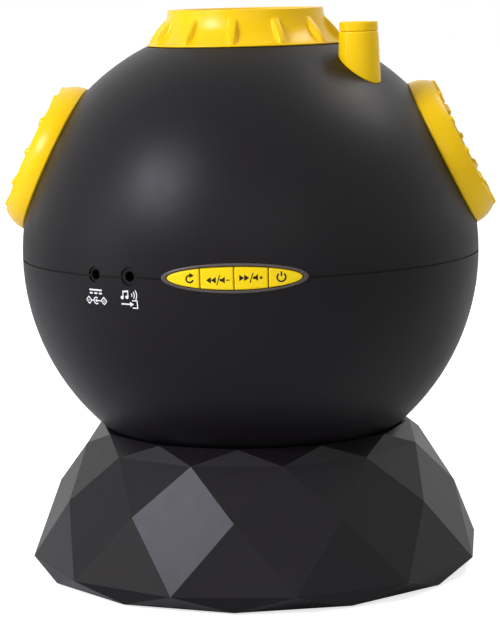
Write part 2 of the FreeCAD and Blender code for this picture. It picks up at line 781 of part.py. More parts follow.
def build_lens_mount():
    body = turned("mount_blank", [
        ("neck_bore", "flange_under"), ("mount_flange_radius", "flange_under"),
        ("mount_flange_radius", "inner_land"), ("neck_radius", "inner_land"),
        ("neck_radius", "neck_top - edge_break"), ("neck_radius - edge_break", "neck_top"),
        ("neck_bore", "neck_top")])
    slot = box("guide_slot", "neck_wall * 3", "(pin_radius + groove_play) * 2", "neck_top - land_level",
               z="land_level + guide_start")
    slots = polar("guide_slot_at", slot, 3, "neck_radius - neck_wall / 2")
    hole = cylinder("mount_hole", "hole_radius", "mount_flange_thickness * 2", z="flange_under - run_past")
    holes = polar("mount_hole_at", hole, 3, "mount_screw_offset", "-30")
    return ball_node("lens_mount", cut("mount", body, *slots, *holes))


def build_mount_screws():
    one = screw("mount_screw", "screw_radius", "screw_head_radius", "screw_head_height",
                "mount_flange_thickness + frame_flange + land_thickness - blind_floor * 2")
    lifted = copy("mount_screw_up", one, z="frame_top")
    screws = polar("mount_screw_at", lifted, 3, "mount_screw_offset", "-30")
    return ball_node("mount_screws", group("mount_screw_set", screws))


def ring_curve(curve):
    return [("ring_top_radius + ring_taper * %s" % out, "ring_level + ring_height * %s" % up)
            for out, up in curve]


def ring_body():
    """The plain flared ring, without its ribs."""
    return turned("focus_blank", [
        ("ring_bore", "ring_level"), ("ring_base_radius", "ring_level"),
        ("ring_base_radius", "ring_level + ring_flange"), *ring_curve(RING_FLARE),
        ("ring_top_radius", "ring_top - wide_break"), ("ring_top_radius - edge_break", "ring_top"),
        ("ring_mouth_radius + edge_break", "ring_top"), ("ring_mouth_radius", "ring_top - edge_break"),
        ("ring_mouth_radius", "neck_top + turning_gap"), ("ring_bore", "neck_top + turning_gap")])


def ring_rib():
    rib = doc.addObject("PartDesign::Body", "rib")
    sketch = sketch_on(rib, "XZ_Plane")
    foot, top = "ring_level + ring_flange / 2", "ring_level + ring_height * %s" % RIB_CREST[-1][1]
    outline(sketch, [("ring_bore + run_past", foot), ("ring_base_radius - fine_break", foot),
                     *ring_curve(RIB_CREST), ("ring_bore + run_past", top)])
    pad = rib.newObject("PartDesign::Pad", "rib_pad")
    pad.Profile = sketch
    pad.SideType = "Symmetric"
    bind(pad, Length="rib_width")
    return rib


def ring_groove():
    """The winding groove that lifts one pin of the lens barrel as the ring turns."""
    path = doc.addObject("Part::Helix", "groove_path")
    path.LocalCoord = "Left-handed"
    bind(path, Pitch="focus_rise_per_turn", Radius="ring_bore",
         Height="focus_rise_per_turn * (focus_turn + groove_spare) / 180")
    section = bind(doc.addObject("Part::Plane", "groove_section"), Length="groove_depth * 2",
                   Width="(pin_radius + groove_play) * 2")
    place(section, x="ring_bore - groove_depth", z="-(pin_radius + groove_play)", axis=(1, 0, 0), angle="90")
    groove = doc.addObject("Part::Sweep", "groove")
    groove.Sections = [section]
    groove.Spine = (path, ["Edge1"])
    groove.Solid = True
    groove.Frenet = True
    return copy("groove_up", groove, z="pin_level - focus_rise_per_turn * (focus_turn + groove_spare) / 360")


def build_focus_ring():
    ribs = polar("rib_at", ring_rib(), int(mm("rib_count")), first="rib_turn")
    grooves = polar("groove_at", ring_groove(), 3, first="focus_turn + groove_spare")
    return ball_node("focus_ring", cut("focus", fuse("focus_joined", ring_body(), *ribs), *grooves))


def build_lens_barrel():
    spacer = "rear_seat_level + lens_edge + run_past"
    body = turned("barrel_blank", [
        ("seat_bore", "barrel_bottom"), ("barrel_radius", "barrel_bottom"), ("barrel_radius", "barrel_top"),
        ("barrel_bore + wide_break", "barrel_top"), ("barrel_bore", "barrel_top - wide_break"),
        ("barrel_bore", "front_seat_level"), ("seat_bore", "front_seat_level"), ("seat_bore", spacer),
        ("barrel_bore", spacer), ("barrel_bore", "rear_seat_level"), ("seat_bore", "rear_seat_level")])
    pin = cylinder("pin_bar", "pin_radius", "pin_reach - barrel_bore - edge_break",
                   x="barrel_bore + edge_break", z="pin_level", axis=(0, 1, 0), angle="90")
    return ball_node("lens_barrel", fuse("barrel", body, *polar("pin_at", pin, 3)))


def lens(name, radius, edge, bulge, level, rim, both=True):
    """A lens: a flat-rimmed disc with a shallow cap on its top, and on its underside if both."""
    cap = "(((%s)^2 + (%s)^2) / (2 * (%s)))" % (rim, bulge, bulge)
    under = bulge if both else "0"
    disc = cylinder(name + "_disc", radius, edge, z=level)
    core = cylinder(name + "_core", rim, "%s + %s + %s" % (edge, bulge, under), z="%s - %s" % (level, under))
    parts = [core, sphere(name + "_top", cap, z="%s + %s + %s - %s" % (level, edge, bulge, cap))]
    if both:
        parts.append(sphere(name + "_under", cap, z="%s - %s + %s" % (level, bulge, cap)))
    return fuse(name, disc, common(name + "_caps", *parts))


def build_lenses():
    rim = "seat_bore - fit_gap"
    ball_node("front_lens", lens("front", "lens_radius", "lens_edge", "front_bulge", "front_seat_level", rim))
    ball_node("rear_lens", lens("rear", "lens_radius", "lens_edge", "rear_bulge", "rear_seat_level", rim))
    foot = "front_seat_level + lens_edge"
    top = foot + " + retainer_height"
    ball_node("lens_retainer", turned("retainer", [
        ("seat_bore", foot), ("lens_radius", foot), ("lens_radius", top), ("lens_radius - edge_break", top),
        ("seat_bore", foot + " + wide_break")]))


# Lamp, condenser and star disc

def frame_solid():
    flange = turned("frame_flange_ring", [
        ("neck_bore + frame_step", "frame_top"), ("mount_flange_radius", "frame_top"),
        ("mount_flange_radius", "flange_under"), ("neck_bore + frame_step", "flange_under")])
    column = cylinder("column", "column_radius", "flange_under - lamp_deck_level", z="lamp_deck_level")
    columns = polar("column_at", column, 3, "column_offset", "30")
    deck = cylinder("deck_plate", "mount_flange_radius", "deck_thickness", z="deck_level")
    bracket = cylinder("motor_bracket", "gearbox_radius + bracket_margin", "deck_thickness",
                       y="gear_distance", z="deck_level")
    collar = cylinder("deck_collar", "collar_radius", "collar_height + run_past", z="deck_top - run_past")
    lamp_deck = cylinder("lamp_deck", "lamp_deck_radius", "deck_thickness", z="lamp_deck_level")
    arm = box("lamp_arm", "column_offset", "column_radius * 2", "deck_thickness", x="column_offset / 2",
              z="lamp_deck_level")
    arms = polar("lamp_arm_at", arm, 3, first="30")
    holder = cylinder("condenser_holder", "condenser_radius + fit_gap + holder_wall",
                      "condenser_rise + condenser_edge + bracket_margin", z="lamp_deck_level")
    spacers = [cylinder("sink_spacer_" + side, "screw_head_radius", "lamp_board_thickness + run_past",
                        z="sink_top", **spot) for side, spot in side_places("lamp_screw_reach").items()]
    return fuse("frame_solid", flange, *columns, deck, bracket, collar, lamp_deck, *arms, holder, *spacers)


def build_projector_frame():
    bore = cylinder("deck_hole", "deck_bore", "deck_thickness + collar_height + run_past * 2",
                    z="deck_level - run_past")
    lamp_bore = cylinder("lamp_bore", "lamp_hole", "deck_thickness * 2", z="lamp_deck_level - run_past")
    seat = cylinder("lens_seat", "condenser_radius + fit_gap", "condenser_bulge * 3", z="condenser_level")
    funnel = cone("lamp_funnel", "lamp_hole", "condenser_radius - condenser_ledge",
                  "condenser_rise - deck_thickness", z="lamp_deck_level + deck_thickness")
    shaft = cylinder("shaft_hole", "shaft_radius + shaft_room", "deck_thickness * 3", y="gear_distance",
                     z="deck_level - deck_thickness")
    pilots = [cylinder("sink_pilot_" + side, "pilot_radius", "lamp_screw_length + run_past",
                       z="sink_top - run_past", **spot)
              for side, spot in side_places("lamp_screw_reach").items()]
    hole = cylinder("frame_hole", "hole_radius", "frame_flange * 3", z="frame_top - frame_flange")
    holes = polar("frame_hole_at", hole, 3, "mount_screw_offset", "-30")
    frame = cut("frame", frame_solid(), bore, lamp_bore, seat, funnel, shaft, *pilots, *holes)
    return ball_node("projector_frame", frame)


def build_lamp():
    ball_node("condenser_lens", lens("condenser", "condenser_radius", "condenser_edge", "condenser_bulge",
                                     "condenser_level", "condenser_radius - condenser_ledge", both=False))
    board = cylinder("lamp_disc", "lamp_board_radius", "lamp_board_thickness", z="sink_top")
    ball_node("lamp_board", group("lamp_board_solid", [board]))
    top = "lamp_deck_level + lamp_body"
    body = box("lamp_base", "lamp_width", "lamp_width", "lamp_body", z="lamp_deck_level")
    above = cylinder("lamp_above", "lamp_width", "lamp_width", z=top)
    dome = common("lamp_dome_cap", sphere("lamp_ball", "lamp_dome", z=top), above)
    ball_node("star_lamp", fuse("lamp", body, dome))


def build_heat_sink():
    plate = box("sink_base", "sink_width", "sink_width", "sink_plate", z="sink_top - sink_plate")
    count = int(mm("sink_fins"))
    fins = [box("fin_%d" % index, "sink_fin", "sink_width", "sink_depth", z="sink_top - sink_depth",
                x="(sink_width - sink_fin) * (%d / %d - 0.5)" % (index, count - 1)) for index in range(count)]
    spots = side_places("lamp_screw_reach").items()
    under = "sink_top - sink_depth - run_past"
    holes = [cylinder("sink_hole_" + side, "hole_radius", "sink_depth * 2", z=under, **spot)
             for side, spot in spots]
    rooms = [cylinder("head_room_" + side, "screw_head_radius + turning_gap",
                      "sink_depth - sink_plate + run_past", z=under, **spot) for side, spot in spots]
    ball_node("heat_sink", cut("sink", fuse("sink_solid", plate, *fins), *holes, *rooms))
    one = screw("lamp_screw", "screw_radius", "screw_head_radius", "screw_head_height", "lamp_screw_length")
    screws = [copy("lamp_screw_" + side, one, z="sink_top - sink_plate", **spot) for side, spot in spots]
    ball_node("lamp_screws", group("lamp_screw_set", screws))


def gear_face(teeth, phase):
    """The outline of a spur gear with involute flanks, one arc to each flank."""
    pitch_radius = mm("tooth_size") * teeth / 2
    base_radius = pitch_radius * math.cos(math.radians(mm("pressure_angle")))
    root, tip = pitch_radius - mm("root_share * tooth_size"), pitch_radius + mm("tooth_size")
    play = mm("tooth_play")
    start = max(root, base_radius)

    def involute(radius):
        pressure = math.acos(min(1.0, base_radius / radius))
        return math.tan(pressure) - pressure

    def half_tooth(radius):
        half = math.pi / (2 * teeth) - play / (2 * pitch_radius)
        return half + involute(pitch_radius) - involute(radius)

    def point(radius, angle):
        return FreeCAD.Vector(radius * math.cos(angle), radius * math.sin(angle), 0)

    edges = []
    radii = (start, (start + tip) / 2, tip)
    for tooth in range(teeth):
        middle = math.radians(phase) + 2 * math.pi * tooth / teeth
        rise = [point(radius, middle - half_tooth(radius)) for radius in radii]
        fall = [point(radius, middle + half_tooth(radius)) for radius in reversed(radii)]
        after = middle + 2 * math.pi / teeth
        foot, rest = point(root, middle + half_tooth(start)), point(root, after - half_tooth(start))
        first = point(root, middle - half_tooth(start))
        if start > root:
            edges.append(Part.LineSegment(first, rise[0]).toShape())
        edges.append(Part.Arc(*rise).toShape())
        edges.append(Part.LineSegment(rise[2], fall[0]).toShape())
        edges.append(Part.Arc(*fall).toShape())
        if start > root:
            edges.append(Part.LineSegment(fall[2], foot).toShape())
        edges.append(Part.LineSegment(foot, rest).toShape())
    return Part.Face(Part.Wire(edges))


def gear_blank(name, teeth, phase):
    shape = gear_face(int(mm(teeth)), phase).extrude(FreeCAD.Vector(0, 0, mm("gear_height")))
    return place(form(name, shape), z="gear_under")


def build_star_disc():
    rim = gear_blank("disc_rim", "disc_teeth", 0.0)
    bore = cylinder("disc_bore", "collar_radius + turning_gap", "gear_height * 3",
                    z="gear_under - gear_height")
    ball_node("disc_gear", cut("disc_wheel", rim, bore))
    disc = cylinder("film", "disc_radius", "disc_thickness", z="gear_top")
    ball_node("star_disc", group("star_film", [disc]))
    inner = "disc_radius + fit_gap"
    outer = inner + " + clamp_wall"
    top = "gear_top + clamp_height"
    ball_node("disc_clamp", turned("clamp", [
        (inner, "gear_top"), (outer, "gear_top"), (outer, top + " - fine_break"),
        (outer + " - fine_break", top), ("disc_radius - clamp_wall", top),
        ("disc_radius - clamp_wall", "gear_top + disc_thickness"),
        (inner, "gear_top + disc_thickness")]))


def build_drive():
    wheel = gear_blank("pinion_rim", "pinion_teeth", 180.0 / mm("pinion_teeth") - 90.0)
    shaft = cylinder("pinion_shaft", "shaft_radius", "gear_top - deck_level + shaft_depth",
                     z="deck_level - shaft_depth")
    moved = copy("pinion_at", fuse("pinion", wheel, shaft), y="gear_distance")
    ball_node("motor_pinion", group("pinion_solid", [moved]))
    gearbox = cylinder("gearbox", "gearbox_radius", "gearbox_height", z="deck_level - gearbox_height")
    can = cylinder("can", "can_radius", "can_height", z="deck_level - gearbox_height - can_height")
    bore = cylinder("gearbox_bore", "shaft_radius + shaft_gap", "shaft_depth + run_past * 2",
                    z="deck_level - shaft_depth - run_past")
    motor = cut("motor_solid", fuse("motor_outer", gearbox, can), bore)
    ball_node("motor", group("motor_placed", [copy("motor_at", motor, y="gear_distance")]))


# Shooting-star lamp

def at_meteor(name, item):
    placed = copy(name + "_at", item, x="meteor_across", y="-meteor_deep")
    return ball_node(name, group(name + "_up", [placed]))


def build_meteor_tube():
    taper = "(meteor_foot_radius - meteor_top_radius) / (meteor_seam_level - meteor_foot_level)"
    tapered = cone("meteor_cone", "meteor_foot_radius + meteor_stub_drop * %s" % taper, "meteor_top_radius",
                   "meteor_seam_level - meteor_stub_level", z="meteor_stub_level")
    outside = cut("meteor_outside", tapered,
                  sphere("meteor_ball", "ball_radius + fit_gap / 2", x="-meteor_across", y="meteor_deep"))
    stub = cylinder("meteor_stub", "meteor_stub_radius", "meteor_seam_level - meteor_stub_level - run_past",
                    z="meteor_stub_level")
    bore = cylinder("meteor_hole", "meteor_bore", "ball_radius", z="meteor_stub_level - run_past")
    at_meteor("meteor_tube", cut("meteor_body", fuse("meteor_joined", outside, stub), bore))


def build_meteor_cap():
    plug, plug_end = "meteor_bore - fit_gap", "meteor_seam_level - meteor_cap_plug"
    at_meteor("meteor_cap", turned("cap", [
        ("meteor_window", plug_end), (plug, plug_end), (plug, "meteor_seam_level"),
        ("meteor_cap_radius + fit_gap", "meteor_seam_level"),
        ("meteor_cap_radius", "meteor_top_level - fine_break"),
        ("meteor_cap_radius - fine_break", "meteor_top_level"),
        ("meteor_window + wide_break", "meteor_top_level"),
        ("meteor_window", "meteor_top_level - wide_break")]))


def build_meteor_lamp():
    at_meteor("meteor_lens", lens("meteor_glass", "meteor_bore - fit_gap", "meteor_lens_edge",
                                  "meteor_lens_bulge", "meteor_lens_level", "meteor_window"))
    board = cylinder("meteor_disc", "meteor_bore - fit_gap", "meteor_board_thickness", z="meteor_board_level")
    at_meteor("meteor_board", board)
    body = cylinder("meteor_bulb_base", "meteor_lamp_radius", "meteor_lamp_body", z="meteor_board_top")
    tip = sphere("meteor_bulb_top", "meteor_lamp_radius", z="meteor_board_top + meteor_lamp_body")
    above = cylinder("meteor_bulb_above", "meteor_bore", "meteor_bore * 2", z="meteor_board_top")
    at_meteor("meteor_lamp", common("meteor_bulb_solid", fuse("meteor_bulb", body, tip), above))


# Speakers

def ear_nodes(name, item):
    """One piece, modelled on the speaker's axis, placed on both sides of the ball."""
    for side, sign in EAR_SIDES.items():
        placed = group("%s_on_%s" % (name, side), [item])
        place(placed, z="ball_level", axis=(0, 1, 0), angle="%d * (90 - ear_elevation)" % sign)
        node("%s_%s" % (name, side), placed)


def build_speaker_rings():
    wall = "ear_radius - ear_wall"
    under = "ear_face - ear_wall"
    curve = [("ear_face_radius + ear_slope * %s" % out, "ear_foot + (ear_face - ear_foot) * %s" % up)
             for out, up in EAR_CURVE]
    body = turned("ear_blank", [
        ("ear_radius", "ear_foot - fit_gap"), *curve, ("ear_face_radius", "ear_face"),
        ("ear_mouth + wide_break", "ear_face"), ("ear_mouth", "ear_face - wide_break"),
        ("ear_mouth", "grille_level"), ("grille_ledge", "grille_level"), ("grille_ledge", "ear_foot"),
        ("ear_mouth + ear_wall", "ear_foot"), ("ear_mouth + ear_wall", under),
        (wall + " - ear_slope / 2", under), (wall, "(ear_face + ear_foot) / 2"),
        (wall, "ear_foot - fit_gap")])
    ring = cut("ear", body, sphere("ear_ball", "ball_radius + fit_gap / 2"))
    face = "ear_face - fit_gap"
    bar = cylinder("nub_bar", "nub_radius", "nub_length", x="-nub_length / 2", z=face,
                   axis=(0, 1, 0), angle="90")
    ends = [sphere("nub_end_" + name, "nub_radius", x=sign + "nub_length / 2", z=face)
            for name, sign in (("out", ""), ("in", "-"))]
    nubs = polar("nub_at", fuse("nub", bar, *ends), int(mm("nub_count")), "nub_offset", "nub_turn")
    ear_nodes("speaker_ring", fuse("ear_joined", ring, *nubs))


def build_grilles():
    disc = cylinder("grille_disc", "ear_mouth - fit_gap", "grille_thickness", z="grille_level")
    hole = cylinder("grille_bore", "grille_hole", "grille_thickness * 3", z="grille_level - grille_thickness")
    holes = [hole]
    for ring in range(1, int(mm("grille_rings")) + 1):
        holes += polar("grille_bore_%d" % ring, hole, 6 * ring, "grille_spacing * %d" % ring)
    ear_nodes("speaker_grille", cut("grille", disc, group("grille_bores", holes)))


def build_speakers():
    top, back = "speaker_level", "basket_back"
    hole = "cone_throat + edge_break"
    basket = turned("basket_blank", [
        ("basket_bore", top), ("speaker_radius", top), ("speaker_radius", top + " - basket_plate"),
        ("speaker_radius - basket_rim", top + " - basket_plate"), ("basket_back_radius", back), (hole, back),
        (hole, back + " + basket_plate"), ("basket_back_radius - basket_plate", back + " + basket_plate"),
        ("basket_bore", top + " - basket_plate")])
    window = box("basket_window_bar", "basket_window", "basket_window", "basket_depth - basket_plate * 3",
                 z=back + " + basket_plate * 1.5")
    windows = polar("basket_window_at", window, 4, "basket_bore - basket_plate", "45")
    ear_nodes("speaker_basket", cut("basket", basket, *windows))
    low, edge = top + " - cone_depth", "grille_ledge - fit_gap * 2"
    rim = "basket_bore - turning_gap"
    ear_nodes("speaker_cone", turned("cone_blank", [
        ("0", low + " - cone_wall"), ("cone_throat", low + " - cone_wall"), (rim, top + " - cone_wall"),
        (rim, top), (edge, top), (edge, top + " + cone_wall"), (rim + " - cone_wall", top + " + cone_wall"),
        (rim + " - cone_wall", top), ("cone_throat", low), ("0", low + " + dust_cap_rise")]))
    end = back + " - magnet_depth"
    ear_nodes("speaker_magnet", turned("magnet_blank", [
        ("0", end), ("magnet_radius - wide_break", end), ("magnet_radius", end + " + wide_break"),
        ("magnet_radius", back), ("0", back)]))


# Keys

def build_bezel():
    ring = common("bezel_ring",
                  layer("bezel_layer", "key_back + key_flange + turning_gap", "ball_radius + strip_stand"),
                  oval("bezel_oval", "strip_half_width", "strip_half_height"))
    mouth = oval("bezel_mouth", "keys_half_width", "keys_half_height")
    return ball_node("control_bezel", cut("bezel", ring, mouth))


def build_keys():
    """Four keys cut from one oval: two short inner ones and two long outer ones."""
    end = "keys_half_width + key_flange_reach + run_past"
    spans = {
        "mode": ("-(%s)" % end, "-key_divider", "-outer_stem_across"),
        "previous": ("-key_divider", "0", "-key_divider / 2"),
        "next": ("0", "key_divider", "key_divider / 2"),
        "power": ("key_divider", end, "outer_stem_across"),
    }
    face = common("keys_face", layer("face_layer", "key_back", "ball_radius + key_stand"),
                  oval("face_oval", "keys_half_width - key_gap", "keys_half_height - key_gap"))
    web = common("keys_web", layer("web_layer", "key_back", "key_back + key_flange"),
                 oval("web_oval", "keys_half_width + key_flange_reach",
                      "keys_half_height + key_flange_reach"))
    plate = fuse("keys_plate", face, web)
    for name, (low, high, stem) in spans.items():
        block = box(name + "_span", "(%s) - (%s) - key_split" % (high, low), "ball_radius", "ball_radius",
                    x="((%s) + (%s)) / 2" % (high, low), y="-ball_radius", z="-ball_radius / 2")
        plunger = rear_cylinder(name + "_stem", "stem_radius", "stem_end", "stem_length", x=stem)
        ball_node("key_" + name, fuse(name + "_key", common(name + "_cap", plate, block), plunger))


def build_key_board():
    board = box("key_card", "key_board_width", "board_thickness", "strip_half_height - board_top",
                y="-(key_board_face - board_thickness / 2)", z="board_top")
    ball_node("key_board", group("key_card_solid", [board]))
    switches = []
    stems = ("-outer_stem_across", "-key_divider / 2", "key_divider / 2", "outer_stem_across")
    for index, across in enumerate(stems):
        body = box("switch_%d" % index, "switch_width", "switch_height", "switch_width", x=across,
                   y="-(key_board_face + switch_height / 2)", z="-switch_width / 2")
        well = rear_cylinder("switch_well_%d" % index, "stem_radius + turning_gap / 2",
                             "stem_end - key_travel - fit_gap", "switch_height", x=across)
        switches.append(cut("switch_body_%d" % index, body, well))
    ball_node("key_switches", group("switch_set", switches))


# Main board and sockets

def build_main_board():
    disc = cylinder("board_disc", "board_radius", "board_thickness", z="board_under")
    under = "board_under - board_thickness"
    through = "board_thickness * 3"
    block = box("board_block", "board_left + board_right", "board_radius - board_front", through,
                x="(board_right - board_left) / 2", y="-(board_radius + board_front) / 2", z=under)
    holes = [cylinder("board_hole_" + side, "upper_post_radius + turning_gap", through, z=under, **spot)
             for side, spot in side_places("post_across", "-post_deep").items()]
    spots = side_places("board_screw_across", "-board_screw_deep").items()
    screw_holes = [cylinder("board_screw_hole_" + side, "small_screw_radius + screw_play", through,
                            z=under, **spot) for side, spot in spots]
    ball_node("main_board", cut("board", common("board_blank", disc, block), *holes, *screw_holes))
    one = screw("board_screw", "small_screw_radius", "small_screw_head_radius", "small_screw_head_height",
                "small_screw_length")
    flipped = copy("board_screw_down", one, axis=(1, 0, 0), angle="180")
    screws = [copy("board_screw_" + side, flipped, z="board_top", **spot) for side, spot in spots]
    ball_node("board_screws", group("board_screw_set", screws))


def board_spot(across, deep):
    """A place on the main board, from shares of its left half's width and of its depth."""
    return {"x": "board_left * %s" % across, "y": "-(board_front + (board_radius - board_front) * %s)" % deep,
            "z": "board_top"}


def build_board_parts():
    small = "chip_width * 0.7"
    chip = box("sound_chip", "chip_width", "chip_width", "chip_height", **board_spot(-0.1, 0.33))
    driver = box("driver_chip", small, "chip_width / 2", "chip_height", **board_spot(0.13, 0.57))
    regulator = box("regulator", small, small, "chip_height * 1.5", **board_spot(-0.63, 0.14))
    cans = [cylinder("capacitor_%d" % index, "capacitor_radius", "capacitor_height", **board_spot(*spot))
            for index, spot in enumerate(((-0.83, 0.14), (-0.25, 0.57), (0.2, 0.19)))]
    header = box("wire_header", "header_length", "header_width", "header_width * 1.25",
                 **board_spot(-0.13, 0.1))
    ball_node("board_parts", group("board_part_set", [chip, driver, regulator, *cans, header]))


def build_socket(name, azimuth, width, nose, bore, pin=None):
    body = box(name + "_body", width, "socket_length", "%s / 2 - board_top" % width,
               y="-(socket_front - socket_length / 2)", z="board_top")
    barrel = rear_cylinder(name + "_nose", nose, "socket_front - run_past",
                           "socket_face - socket_front + run_past")
    hole = rear_cylinder(name + "_bore", bore, "socket_face - socket_bore_depth", "ball_radius")
    solid = cut(name + "_cut", fuse(name + "_solid", body, barrel), hole)
    if pin:
        post = rear_cylinder(name + "_pin", pin, "socket_face - socket_bore_depth - run_past",
                             "socket_bore_depth - run_past")
        solid = fuse(name + "_pinned", solid, post)
    return ball_node(name, copy(name + "_at", solid, axis=(0, 0, 1), angle="-(%s)" % azimuth))


def build_sockets():
    build_socket("dc_jack", "power_azimuth", "power_width", "power_nose_radius", "power_bore_radius",
                 "power_pin_radius")
    build_socket("audio_jack", "audio_azimuth", "audio_width", "audio_nose_radius", "audio_bore_radius")


def check_and_export():
    doc.recompute()
    for item in doc.Objects:
        if {"Invalid", "Error"} & set(item.State):
            raise RuntimeError("%s failed: %s" % (item.Label, item.State))
    for item in nodes:
        if item.Shape.isNull() or not item.Shape.isValid():
            raise RuntimeError("%s has a bad shape" % item.Label)
    os.makedirs("parts", exist_ok=True)
    for item in nodes:
        item.Shape.exportStep("parts/%s.step" % item.Label)
        print("%-22s %2d solids %10.1f mm3" % (item.Label, len(item.Shape.Solids), item.Shape.Volume))


fill_sheet()
build_base_shell()
build_base_plate()
build_base_feet()
build_base_screws()
build_seat_ring()
build_upper_shell()
build_lower_shell()
build_shell_screws()
build_lens_mount()
build_mount_screws()
build_focus_ring()
build_lens_barrel()
build_lenses()
build_projector_frame()
build_lamp()
build_heat_sink()
build_star_disc()
build_drive()
build_meteor_tube()
build_meteor_cap()
build_meteor_lamp()
build_speaker_rings()
build_grilles()
build_speakers()
build_bezel()
build_keys()
build_key_board()
build_main_board()
build_board_parts()
build_sockets()
check_and_export()
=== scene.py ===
import math

import bmesh
import bpy
from mathutils import Matrix, Vector

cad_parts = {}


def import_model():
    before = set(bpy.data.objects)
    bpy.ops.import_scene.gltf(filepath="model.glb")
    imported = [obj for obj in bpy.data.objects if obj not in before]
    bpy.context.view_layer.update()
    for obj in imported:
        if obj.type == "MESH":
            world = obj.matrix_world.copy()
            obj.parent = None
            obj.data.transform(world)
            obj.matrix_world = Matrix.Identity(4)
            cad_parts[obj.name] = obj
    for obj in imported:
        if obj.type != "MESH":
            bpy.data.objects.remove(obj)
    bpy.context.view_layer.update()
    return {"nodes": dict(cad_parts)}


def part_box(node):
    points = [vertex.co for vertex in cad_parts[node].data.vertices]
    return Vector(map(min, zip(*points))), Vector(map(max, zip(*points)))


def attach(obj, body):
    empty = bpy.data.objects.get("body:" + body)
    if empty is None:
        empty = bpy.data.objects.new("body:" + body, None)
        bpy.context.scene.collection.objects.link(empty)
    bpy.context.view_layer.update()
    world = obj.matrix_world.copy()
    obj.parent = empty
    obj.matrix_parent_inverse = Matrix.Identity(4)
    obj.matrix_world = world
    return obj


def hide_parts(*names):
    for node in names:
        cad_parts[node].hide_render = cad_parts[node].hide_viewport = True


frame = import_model()

MM = 0.001
NODES = frame["nodes"]

# Places read from the frame
LOWER_LOW, LOWER_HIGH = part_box("lower_shell")
RING_LOW, RING_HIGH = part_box("focus_ring")
CAP_LOW, CAP_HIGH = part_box("meteor_cap")
TUBE_LOW, TUBE_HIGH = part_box("meteor_tube")
NECK_LOW, NECK_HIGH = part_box("lens_mount")
BEZEL_LOW, BEZEL_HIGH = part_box("control_bezel")
CENTRE = Vector((0.0, 0.0, LOWER_HIGH.z))
RADIUS = LOWER_HIGH.z - LOWER_LOW.z

# Camera, in metres and degrees, about the ball's upright axis
CAMERA_AZIMUTH = 3.8
CAMERA_BACK = 0.8908
CAMERA_SIDE = 0.0027
CAMERA_UP = 0.2197
CAMERA_PITCH = 7.878
CAMERA_YAW = -0.223
CAMERA_ROLL = -1.30
FOCAL_PIXELS = 2393.0
PHOTO_HEIGHT = 618

# Studio
WORLD_LIGHT = 0.35
FLOOR_GLOW = 0.74
FLOOR_REACH = 6.0
WHITE = (1.0, 1.0, 1.0, 1.0)
COOL = (0.88, 0.88, 1.0)
WARM = (1.0, 0.97, 0.93)


# Camera

def make_camera():
    data = bpy.data.cameras.new("camera")
    camera = bpy.data.objects.new("camera", data)
    bpy.context.scene.collection.objects.link(camera)
    data.sensor_width = 36.0
    data.lens = FOCAL_PIXELS * data.sensor_width / PHOTO_HEIGHT
    data.clip_start = 0.01
    data.clip_end = 20.0
    pitch, yaw, roll = (math.radians(value) for value in (CAMERA_PITCH, CAMERA_YAW, CAMERA_ROLL))
    forward = Vector((math.sin(yaw) * math.cos(pitch), math.cos(yaw) * math.cos(pitch), -math.sin(pitch)))
    right = Vector((math.cos(yaw), -math.sin(yaw), 0.0))
    up = right.cross(forward)
    rolled_right = right * math.cos(roll) + up * math.sin(roll)
    rolled_up = up * math.cos(roll) - right * math.sin(roll)
    basis = Matrix((rolled_right, rolled_up, -forward)).transposed().to_4x4()
    basis.translation = Vector((CAMERA_SIDE, -CAMERA_BACK, CAMERA_UP))
    camera.matrix_world = Matrix.Rotation(math.radians(CAMERA_AZIMUTH), 4, "Z") @ basis
    bpy.context.scene.camera = camera


# Materials

CLOUD_SCALE = 38.0
SMEAR_SCALE = 150.0
GRAIN_DEPTH = 0.05 * MM
WAVE_DEPTH = 0.2 * MM


def linear(red, green, blue):
    """A colour as seen on screen, 0 to 255, as the shader's own numbers."""
    def one(value):
        value /= 255.0
        return value / 12.92 if value <= 0.04045 else ((value + 0.055) / 1.055) ** 2.4
    return (one(red), one(green), one(blue), 1.0)


def noise(nodes, links, scale, detail, source):
    item = nodes.new("ShaderNodeTexNoise")
    item.inputs["Scale"].default_value = scale
    item.inputs["Detail"].default_value = detail
    links.new(source, item.inputs["Vector"])
    return item


